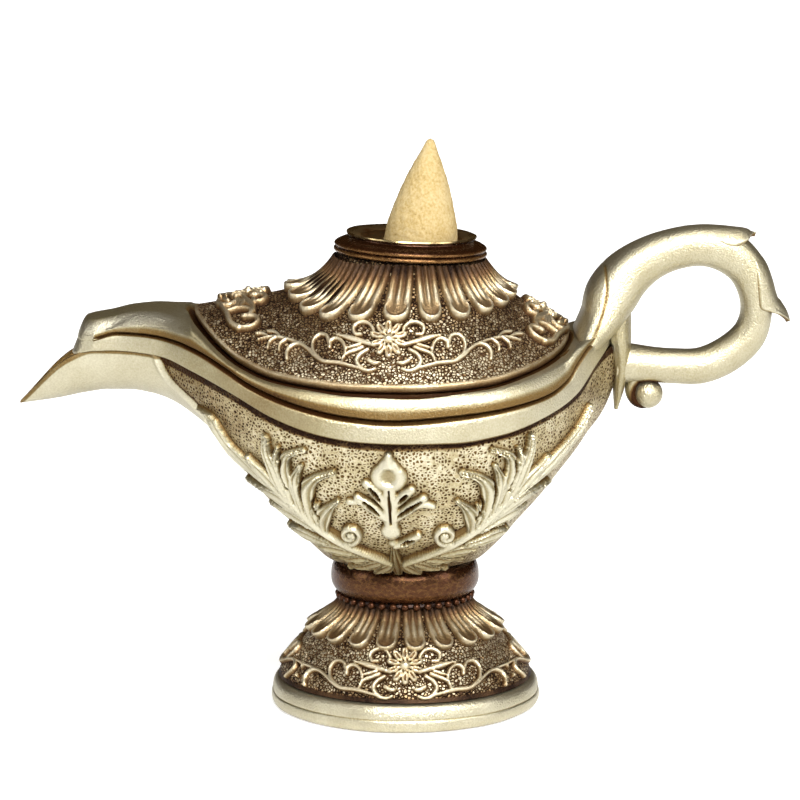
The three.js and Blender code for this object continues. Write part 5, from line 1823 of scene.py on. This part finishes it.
@dataclass
class Crown:
    """Collar, cup and cone on their leaning axis, and where that axis stands."""

    offset: float = 1.1
    base: float = 98.0
    radius: float = 15.2
    throat: float = 7.5
    lean: float = math.radians(2.6)
    steps: int = 240
    cone_offset: float = 2.05
    cone_foot: float = 1.2
    cone_lean: float = math.radians(2.9)
    cone_side: tuple[tuple[float, float], ...] = (
        (7.9, 0.3), (7.85, 1.5), (7.35, 5.2), (6.2, 9.5), (4.8, 13.8), (3.1, 18), (2.1, 20.1), (1.2, 22.2),
        (0.75, 23.1), (0.0, 23.5),
    )

    def level(self, x: Array) -> Array:
        """Height of the crown's leaning base plane."""
        return self.base - (x - self.offset) * math.tan(self.lean)

    def to_frame(self, points: Array) -> Array:
        """Move points drawn on the crown's own axis into the shared frame."""
        return leant(points, self.offset, self.base, self.lean)

    def collar(self) -> None:
        """Make the bronze collar: a sloping shoulder over a thin ring."""
        outer = smooth_path(
            [
                (12.2, 0.3), (15.6, 0.3), (16.3, 0.6), (16.4, 1), (16.1, 1.35), (15.8, 1.5), (16.2, 1.75),
                (16.3, 2.1), (15.9, 2.5), (14.9, 3), (13.9, 3.35), (13.4, 3.6), (13.3, 3.88),
            ],
            80,
        )

        def rubbed(radius: Array, height: Array) -> Array:
            """Bronze, with copper on the ring."""
            return 0.32 + 0.4 * smoothstep(15.8, 16.4, radius)

        collar = turned([*outer, (11.9, 3.88), (11.9, 0.3)], self.steps, rubbed, self.to_frame)
        place(collar, "lid_collar", Body.LID, BRONZE)

    def cup(self) -> None:
        """Make the spun cup with its dished rim and the hole for the smoke."""
        profile = [
            (2.5, 0.4), (10.4, 0.4), (11.2, 0.8), (11.6, 1.6), (11.6, 3.7), (11.9, 4), (13.4, 4),
            (13.8, 4.15), (13.95, 4.4), (13.85, 4.66), (13.6, 4.7), (13.3, 4.6), (12.2, 4.3),
            (11.3, 4.15), (10.9, 3.8), (10.9, 1.8), (10.5, 1.25), (9.8, 1.1), (2.5, 1.1),
        ]

        def tarred(radius: Array, height: Array) -> Array:
            """Smoke tar in the well, and a bright rim."""
            return 0.45 + 0.75 * smoothstep(11.5, 13.4, radius)

        place(turned(profile, self.steps, tarred, self.to_frame, uneven=True), "cone_cup", Body.CUP, BRASS)

    def pressed(self, points: Array) -> Array:
        """Roughen the turned cone and stand it in the cup.

        Args:
            points: Its points, on its own axis.

        Returns:
            The points in the shared frame.
        """
        x, y, z = np.moveaxis(points, -1, 0)
        rough = 0.07 * np.sin(2.1 * z + 1.7 * x) * np.sin(1.9 * y + 0.8 * z)
        rough = rough + 0.05 * np.sin(5.3 * x - 4.1 * y + 3.7 * z)
        reach = np.hypot(x, y)
        swell = np.where(reach > 2.2, 1.0 + rough / np.maximum(reach, 1.0), 1.0)
        foot = self.cone_foot + self.cone_side[0][0] * math.sin(self.cone_lean)
        return self.to_frame(leant(xyz(x * swell, y * swell, z), self.cone_offset, foot, self.cone_lean))

    def cone(self) -> None:
        """Make the pressed cone with its bore."""
        bore = [(0.0, 12.0), (1.4, 11.6), (2.0, 10.6), (2.0, 0.0), (self.cone_side[0][0] - 0.4, 0.0)]
        profile = [*bore, *smooth_path(self.cone_side, 70)]
        place(turned(profile, 120, move=self.pressed, wrap=Wrap.ROWS), "incense_cone", Body.CONE, INCENSE)

    def build(self) -> None:
        """Make the three pieces."""
        self.collar()
        self.cup()
        self.cone()


@dataclass
class Lid:
    """The domed lid with its scrolls and its ring of petals."""

    crown: Crown
    edge: float = 1.5
    play: float = 0.2
    wall: float = 2.2
    flange_depth: float = 3.0
    flange_inside: float = 0.93  # as a share of its outside
    turns: int = 640
    rings: int = 100
    spout_sweep: tuple[float, float] = (0.565, 7.0)  # share and power of the hollow curve towards the spout
    handle_sweep: tuple[float, float] = (0.27, 4.0)
    petals: PetalRing = PetalRing(count=22, start=0.02, phase=-math.pi / 2 - 0.09)
    middle: tuple[float, float, float] = (0.0, 0.0, 60.0)
    scrolls: dict[str, ScrollMotif] = field(default_factory=lambda: {
        "front": ScrollMotif(-math.pi / 2, -0.114, 0.62, math.radians(10.5), 0.85),
        "back": ScrollMotif(math.pi / 2, 0.114, 0.62, math.radians(10.5), 0.85),
        "spout": ScrollMotif(math.pi, 0.0, 0.62, math.radians(70), 1.5, gilt=0.85, weight=1.35, long=False),
        "handle": ScrollMotif(0.0, 0.0, 0.66, math.radians(50), 1.5, gilt=0.85, weight=1.35, long=False),
    })

    def face(self, turn: Array, share: Array) -> Array:
        """Points of the domed face.

        Args:
            turn: Angle of drawing.
            share: Share of the way from the crown to the edge.

        Returns:
            Points in the shape of turn and share.
        """
        c = np.cos(turn)
        inner = np.stack([self.crown.offset + self.crown.radius * c, self.crown.radius * np.sin(turn)], -1)
        outer = LID_EDGE.at(turn)
        plan = inner + (outer - inner) * share[..., None]
        low = SEAT(outer[..., 0]) + self.play + self.edge
        high = self.crown.level(inner[..., 0])
        hollow, power = (np.where(c < 0, s, h) for s, h in zip(self.spout_sweep, self.handle_sweep))
        hollow = hollow * c * c
        left = np.clip(1.0 - share, 0.0, 1.0)
        climb = (1.0 - hollow) * left + hollow * left ** power
        return np.concatenate([plan, (low + (high - low) * climb)[..., None]], axis=-1)

    def shell(self) -> None:
        """Make the lid's shell."""
        angles = full_turn(self.turns)
        turn, s = np.meshgrid(angles, np.linspace(0.0, 1.0, self.rings), indexing="ij")
        dome = self.face(turn, s)
        # Paler near the edge at front and back; painted shade at the spout and handle ends, deeper at the
        # spout end.
        paler_at_front_and_back = smoothstep(0.62, 0.9, s) * np.abs(np.sin(turn)) ** 3
        lip = smoothstep(0.965, 0.985, s)
        gilt = 0.84 - 0.25 * smoothstep(0.55, 0.3, s) + 0.2 * paler_at_front_and_back
        gilt = gilt - np.cos(turn) ** 2 * np.where(np.cos(turn) < 0, 0.2, 0.06)
        for motif in self.scrolls.values():
            gilt = gilt - 0.55 * motif.shadow(self.face, turn, s)
        rim = dome[:, -1]
        outer = LID_EDGE.at(angles)
        seat = SEAT(outer[:, 0]) + self.play
        under = FLANGE.at(angles)
        deep = np.minimum(SEAT(under[:, 0]), seat) - self.flange_depth
        rings = [
            np.column_stack([rim[:, :2], rim[:, 2] - 0.4]),
            np.column_stack([outer * 0.998, seat + 0.5]),
            np.column_stack([outer * 0.985, seat]),
            np.column_stack([under, seat]),
            np.column_stack([under, deep]),
            np.column_stack([under * self.flange_inside, deep]),
        ]
        for back in (0.8, 0.6, 0.4, 0.2, 0.0):
            ring = self.face(angles, np.full(self.turns, back)) - np.array([0.0, 0.0, self.wall])
            inside = self.flange_inside * FLANGE.front / LID_EDGE.front
            pulled = np.minimum(1.0, inside + (1.0 - back) * 0.1)
            rings.append(np.column_stack([ring[:, :2] * pulled, ring[:, 2]]))
        throat = self.crown.throat * np.column_stack([np.cos(angles), np.sin(angles)])
        throat[:, 0] += self.crown.offset
        top = self.crown.level(throat[:, 0])
        rings += [np.column_stack([throat, top - self.wall]), np.column_stack([throat, top])]
        lower = np.stack(rings, axis=1)
        # Dark wash and painted shade under the rim: the rim's side fades from gold into the dark undercut and
        # underside.
        dull = np.full(lower.shape[:2], 0.08)
        dull[:, :2] = (0.62, 0.42)
        draft = MeshDraft().ring((dome, blend(unit(gilt), 0.8, lip), 1.0 - lip), (lower, dull, 0.0))
        place(draft, "lid_shell", Body.LID, RUBBED_GILT, 50.0)

    @staticmethod
    def petal_reach(turn: Array) -> Array:
        """Share where the petals end: they are longer on the steep front and back."""
        return 0.38 + 0.11 * np.sin(turn) ** 2

    def build(self) -> None:
        """Make the shell, the scrolls and the petals."""
        self.shell()
        ring = self.petals.build(self.face, self.middle, self.petal_reach)
        place(ring, "lid_petal_ring", Body.LID, RUBBED_GILT, 60.0)
        for name, motif in self.scrolls.items():
            place(motif.build(self.face, self.middle), f"lid_scroll_{name}", Body.LID, RUBBED_GILT, 60.0)


@dataclass
class Foot:
    """The round foot: felt, plinth, skirt with petals, beads and the knop under the bowl."""

    profile: Graph = Graph((
        (6.4, 27.5), (7.7, 27), (9.9, 25.3), (12.1, 23.5), (14.3, 21.6), (16.6, 19.8), (18.8, 17.6),
        (21, 15), (23.4, 13.2),
    ))
    top: float = 23.4
    hem: float = 6.4
    bore: float = 3.0
    steps: int = 640
    felt_radius: float = 23.0
    felt_thickness: float = 1.5
    bead_count: int = 36
    bead_radius: float = 0.85
    bead_ring: tuple[float, float] = (14.3, 24.0)
    scrolls: tuple[ScrollMotif, ...] = tuple(
        ScrollMotif(-math.pi / 2 + k * math.tau / 3, 0.0, 0.606, math.radians(13.5), 1.05) for k in range(3)
    )
    petals: PetalRing = PetalRing(count=20, start=0.02, phase=-math.pi / 2 + 0.11)
    petal_end: float = 0.46  # share of the skirt where the petals end
    middle: tuple[float, float, float] = (0.0, 0.0, 5.0)

    def face(self, turn: Array, share: Array) -> Array:
        """Points of the skirt's face.

        Args:
            turn: Angle round the axis.
            share: Share of the way from the neck to the hem.

        Returns:
            Points in the shape of turn and share.
        """
        z = self.top + (self.hem - self.top) * share
        radius = self.profile(z)
        return xyz(radius * np.cos(turn), radius * np.sin(turn), z)

    def skirt(self) -> None:
        """Make the flared skirt."""
        angles = full_turn(self.steps)
        turn, share = np.meshgrid(angles, np.linspace(0.0, 1.0, 90), indexing="ij")
        hem = smoothstep(0.93, 0.96, share)
        gilt = 1.0 - 0.3 * smoothstep(0.5, 0.3, share) - 0.3 * smoothstep(0.85, 0.95, share)
        for motif in self.scrolls:
            gilt = gilt - 0.65 * motif.shadow(self.face, turn, share)
        gilt = blend(gilt, 0.1, hem)
        levels = np.array([self.hem, self.top])
        inside = xyz(self.bore * np.cos(angles)[:, None], self.bore * np.sin(angles)[:, None], levels)
        draft = MeshDraft().ring((self.face(turn, share), unit(gilt), 1.0 - hem), (inside, 0.1, 0.0))
        place(draft, "foot_skirt", Body.LAMP, RUBBED_GILT, 50.0)

    def plinth(self) -> None:
        """Make the plinth of two rolls."""
        roll = smooth_path(
            [
                (27.4, 0.15), (28.5, 0.35), (29.05, 1.1), (29.1, 2.2), (28.98, 2.75), (28.82, 2.95),
                (28.86, 3.2), (28.8, 4), (28.5, 5.1), (28.0, 5.75), (27.2, 6.08),
            ],
            64,
        )

        def tone(radius: Array, height: Array) -> Array:
            """Darker between the rolls and at the foot."""
            return 0.88 - 0.25 * bell(height, 2.95, 0.14) - 0.3 * smoothstep(0.6, 0.2, height)

        profile = [(23.2, 0.15), *roll, (4.0, 6.08), (4.0, 1.6), (23.2, 1.6)]
        place(turned(profile, self.steps, tone, uneven=True), "foot_plinth", Body.LAMP, CHAMPAGNE)

    def beads(self) -> None:
        """Make the ring of beads under the knop."""
        draft = MeshDraft()
        radius, level = self.bead_ring
        for turn in math.tau * np.arange(self.bead_count) / self.bead_count:
            spot = np.array([radius * math.cos(turn), radius * math.sin(turn), level])
            bead = half_round(self.bead_radius, 13)
            turned(bead, 18, 0.45, lambda p, at=spot: p + at, wrap=Wrap.ROWS, into=draft)
        inner = radius - 0.2
        band = [(12.6, level + 0.1), (inner, level - 0.5), (radius, level), (inner, level + 0.5)]
        place(turned(band, 180, 0.05, into=draft), "bead_ring", Body.LAMP, BRONZE)

    def knop(self) -> None:
        """Make the bronze knop."""
        outer = smooth_path(
            [
                (13.0, 24.25), (14.7, 25.0), (15.8, 26.6), (16.0, 28.5), (15.7, 30.4), (14.9, 31.8),
                (13.6, 32.4),
            ],
            60,
        )

        def tone(radius: Array, height: Array) -> Array:
            """Painted shade under the bowl and over the beads."""
            return 0.55 - 0.4 * smoothstep(30.5, 32.4, height) - 0.2 * smoothstep(26, 24.5, height)

        knop = turned([*outer, (self.bore, 32.4), (self.bore, 24.25)], self.steps // 3, tone)
        place(knop, "stem_knop", Body.LAMP, BRONZE)

    def felt(self) -> None:
        """Lay the felt pad under the plinth."""
        thick = self.felt_thickness
        wide = self.felt_radius
        profile = [
            (0.0, 0.0), (wide - 0.4, 0.0), (wide, 0.4), (wide, thick - 0.3), (wide - 0.3, thick),
            (0.0, thick),
        ]
        pad = place(turned(profile, 180, wrap=Wrap.ROWS), "felt_pad", Body.LAMP, FELT)

    def petal_reach(self, turn: Array) -> Array:
        """Share where the petals end, the same all round."""
        return np.full(np.shape(turn), self.petal_end)

    def build(self) -> None:
        """Make all pieces of the foot."""
        self.felt()
        self.plinth()
        self.skirt()
        ring = self.petals.build(self.face, self.middle, self.petal_reach)
        place(ring, "foot_petal_ring", Body.LAMP, RUBBED_GILT, 60.0)
        for k, motif in enumerate(self.scrolls, 1):
            place(motif.build(self.face, self.middle), f"foot_scroll_{k}", Body.LAMP, RUBBED_GILT, 60.0)
        self.beads()
        self.knop()


@dataclass
class Studio:
    """Pale table, soft light and the view of the photo. Sizes are metres."""

    aim: tuple[float, float, float] = (-0.00107, 0.0, 0.0664)
    distance: float = 0.82
    elevation: float = math.radians(10.5)
    lens: float = 171.6
    table: str = "#d8d8d6"
    paper: str = "#ffffff"
    dark_wall: str = "#503819"
    pale_wall: str = "#ffffff"
    mirrored: float = 0.26  # glow of the table where the object mirrors it
    room_strength: float = 0.4
    softboxes: tuple[tuple[str, tuple[float, ...], tuple[float, float], float], ...] = (
        ("softbox_front", (0.22, -1.25, 0.95), (1.2, 0.65), 38.0),
        ("softbox_top", (0.1, -0.35, 1.6), (0.9, 0.5), 12.0),
        ("softbox_left", (-1.6, -0.5, 0.7), (0.5, 1.0), 5.0),
        ("softbox_right", (1.6, -0.7, 0.8), (0.5, 1.2), 9.0),
    )

    def camera(self) -> None:
        """Set up the view."""
        data = bpy.data.cameras.new("view")
        data.lens = self.lens
        data.sensor_width = 36.0
        data.clip_end = 20.0
        eye = bpy.data.objects.new("view", data)
        back = Vector((0.0, -math.cos(self.elevation), math.sin(self.elevation))) * self.distance
        eye.location = Vector(self.aim) + back
        eye.rotation_euler = (-back).to_track_quat("-Z", "Y").to_euler()
        bpy.context.scene.collection.objects.link(eye)
        bpy.context.scene.camera = eye

    def floor(self) -> None:
        """Lay the table: seen directly it is white paper with the object's shadow."""
        draft = MeshDraft()
        half = 3000.0  # millimetres, as all meshes are drawn
        side = np.linspace(-half, half, 13)
        x, y = np.meshgrid(side, side, indexing="ij")
        draft.grid(np.stack([x, y, 0.0 * x], axis=-1))
        table = draft.build("table")
        material = bpy.data.materials.new("white_paper_table")
        add = fresh_nodes(material)
        light = add("LightPath")
        spot = add("TexCoord").outputs["Object"]
        away = add("VectorMath", {0: spot}, operation="LENGTH").outputs["Value"]
        span = {"From Min": 0.25, "From Max": 0.7, "To Min": 0.66, "To Max": 1.0}
        pale = add("MapRange", {"Value": away, **span})
        seen = add("Math", {0: light.outputs["Is Camera Ray"], 1: pale}, operation="MULTIPLY")
        mirror = {0: light.outputs["Is Glossy Ray"], 1: self.mirrored, 2: seen}
        shown = add("Math", mirror, operation="MULTIPLY_ADD")
        paper = add("BsdfDiffuse", {"Color": hex_to_linear(self.table)})
        glow = add("Emission", {"Color": hex_to_linear(self.paper), "Strength": shown})
        add("OutputMaterial", {"Surface": add("AddShader", {0: paper, 1: glow})})
        table.data.materials.append(material)

    def world(self) -> None:
        """Light the room: a pale wall behind the camera, dark beyond the object and above it."""
        world = bpy.data.worlds.new("studio")
        add = fresh_nodes(world)
        parts = add("SeparateXYZ", {"Vector": add("TexCoord").outputs["Generated"]})
        front, low = (
            add("MapRange", {"Value": parts.outputs[axis], **span}, interpolation_type="SMOOTHSTEP")
            for axis, span in (
                ("Y", {"From Min": 0.15, "From Max": -0.75}),
                ("Z", {"From Min": 0.3, "From Max": 0.8, "To Min": 1.0, "To Max": 0.15}),
            )
        )
        sky = add("Math", {0: front, 1: low}, operation="MULTIPLY")
        walls = add("ValToRGB", {"Fac": sky}, {0.0: self.dark_wall, 1.0: self.pale_wall})
        room = add("Background", {"Color": walls, "Strength": self.room_strength})
        white = add("Background", {"Color": (1.0, 1.0, 1.0, 1.0), "Strength": 1.0})
        seen = add("LightPath").outputs["Is Camera Ray"]
        add("OutputWorld", {"Surface": add("MixShader", {0: seen, 1: room, 2: white})})
        bpy.context.scene.world = world

    def lamp(self, name: str, place_at: Sequence[float], size: tuple[float, float], watts: float) -> None:
        """Hang a softbox that faces the object.

        Args:
            name: Its name.
            place_at: Where it hangs.
            size: Its width and height.
            watts: Its power.
        """
        data = bpy.data.lights.new(name, "AREA")
        data.shape = "RECTANGLE"
        data.size, data.size_y = size
        data.energy = watts
        box = bpy.data.objects.new(name, data)
        box.location = place_at
        box.rotation_euler = (Vector(self.aim) - Vector(place_at)).to_track_quat("-Z", "Y").to_euler()
        box.visible_camera = False
        bpy.context.scene.collection.objects.link(box)

    def build(self) -> None:
        """Set up floor, light and view."""
        self.floor()
        self.world()
        for softbox in self.softboxes:
            self.lamp(*softbox)
        self.camera()
        bpy.context.scene.view_settings.view_transform = "Standard"


def main() -> None:
    """Build the burner's looks over its solids."""
    logging.basicConfig(level=logging.INFO, format="%(name)s: %(message)s")
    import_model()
    crown = Crown()
    Foot().build()
    LampBody().build()
    Handle().build()
    Lid(crown).build()
    crown.build()
    Studio().build()


if __name__ == "__main__":
    main()
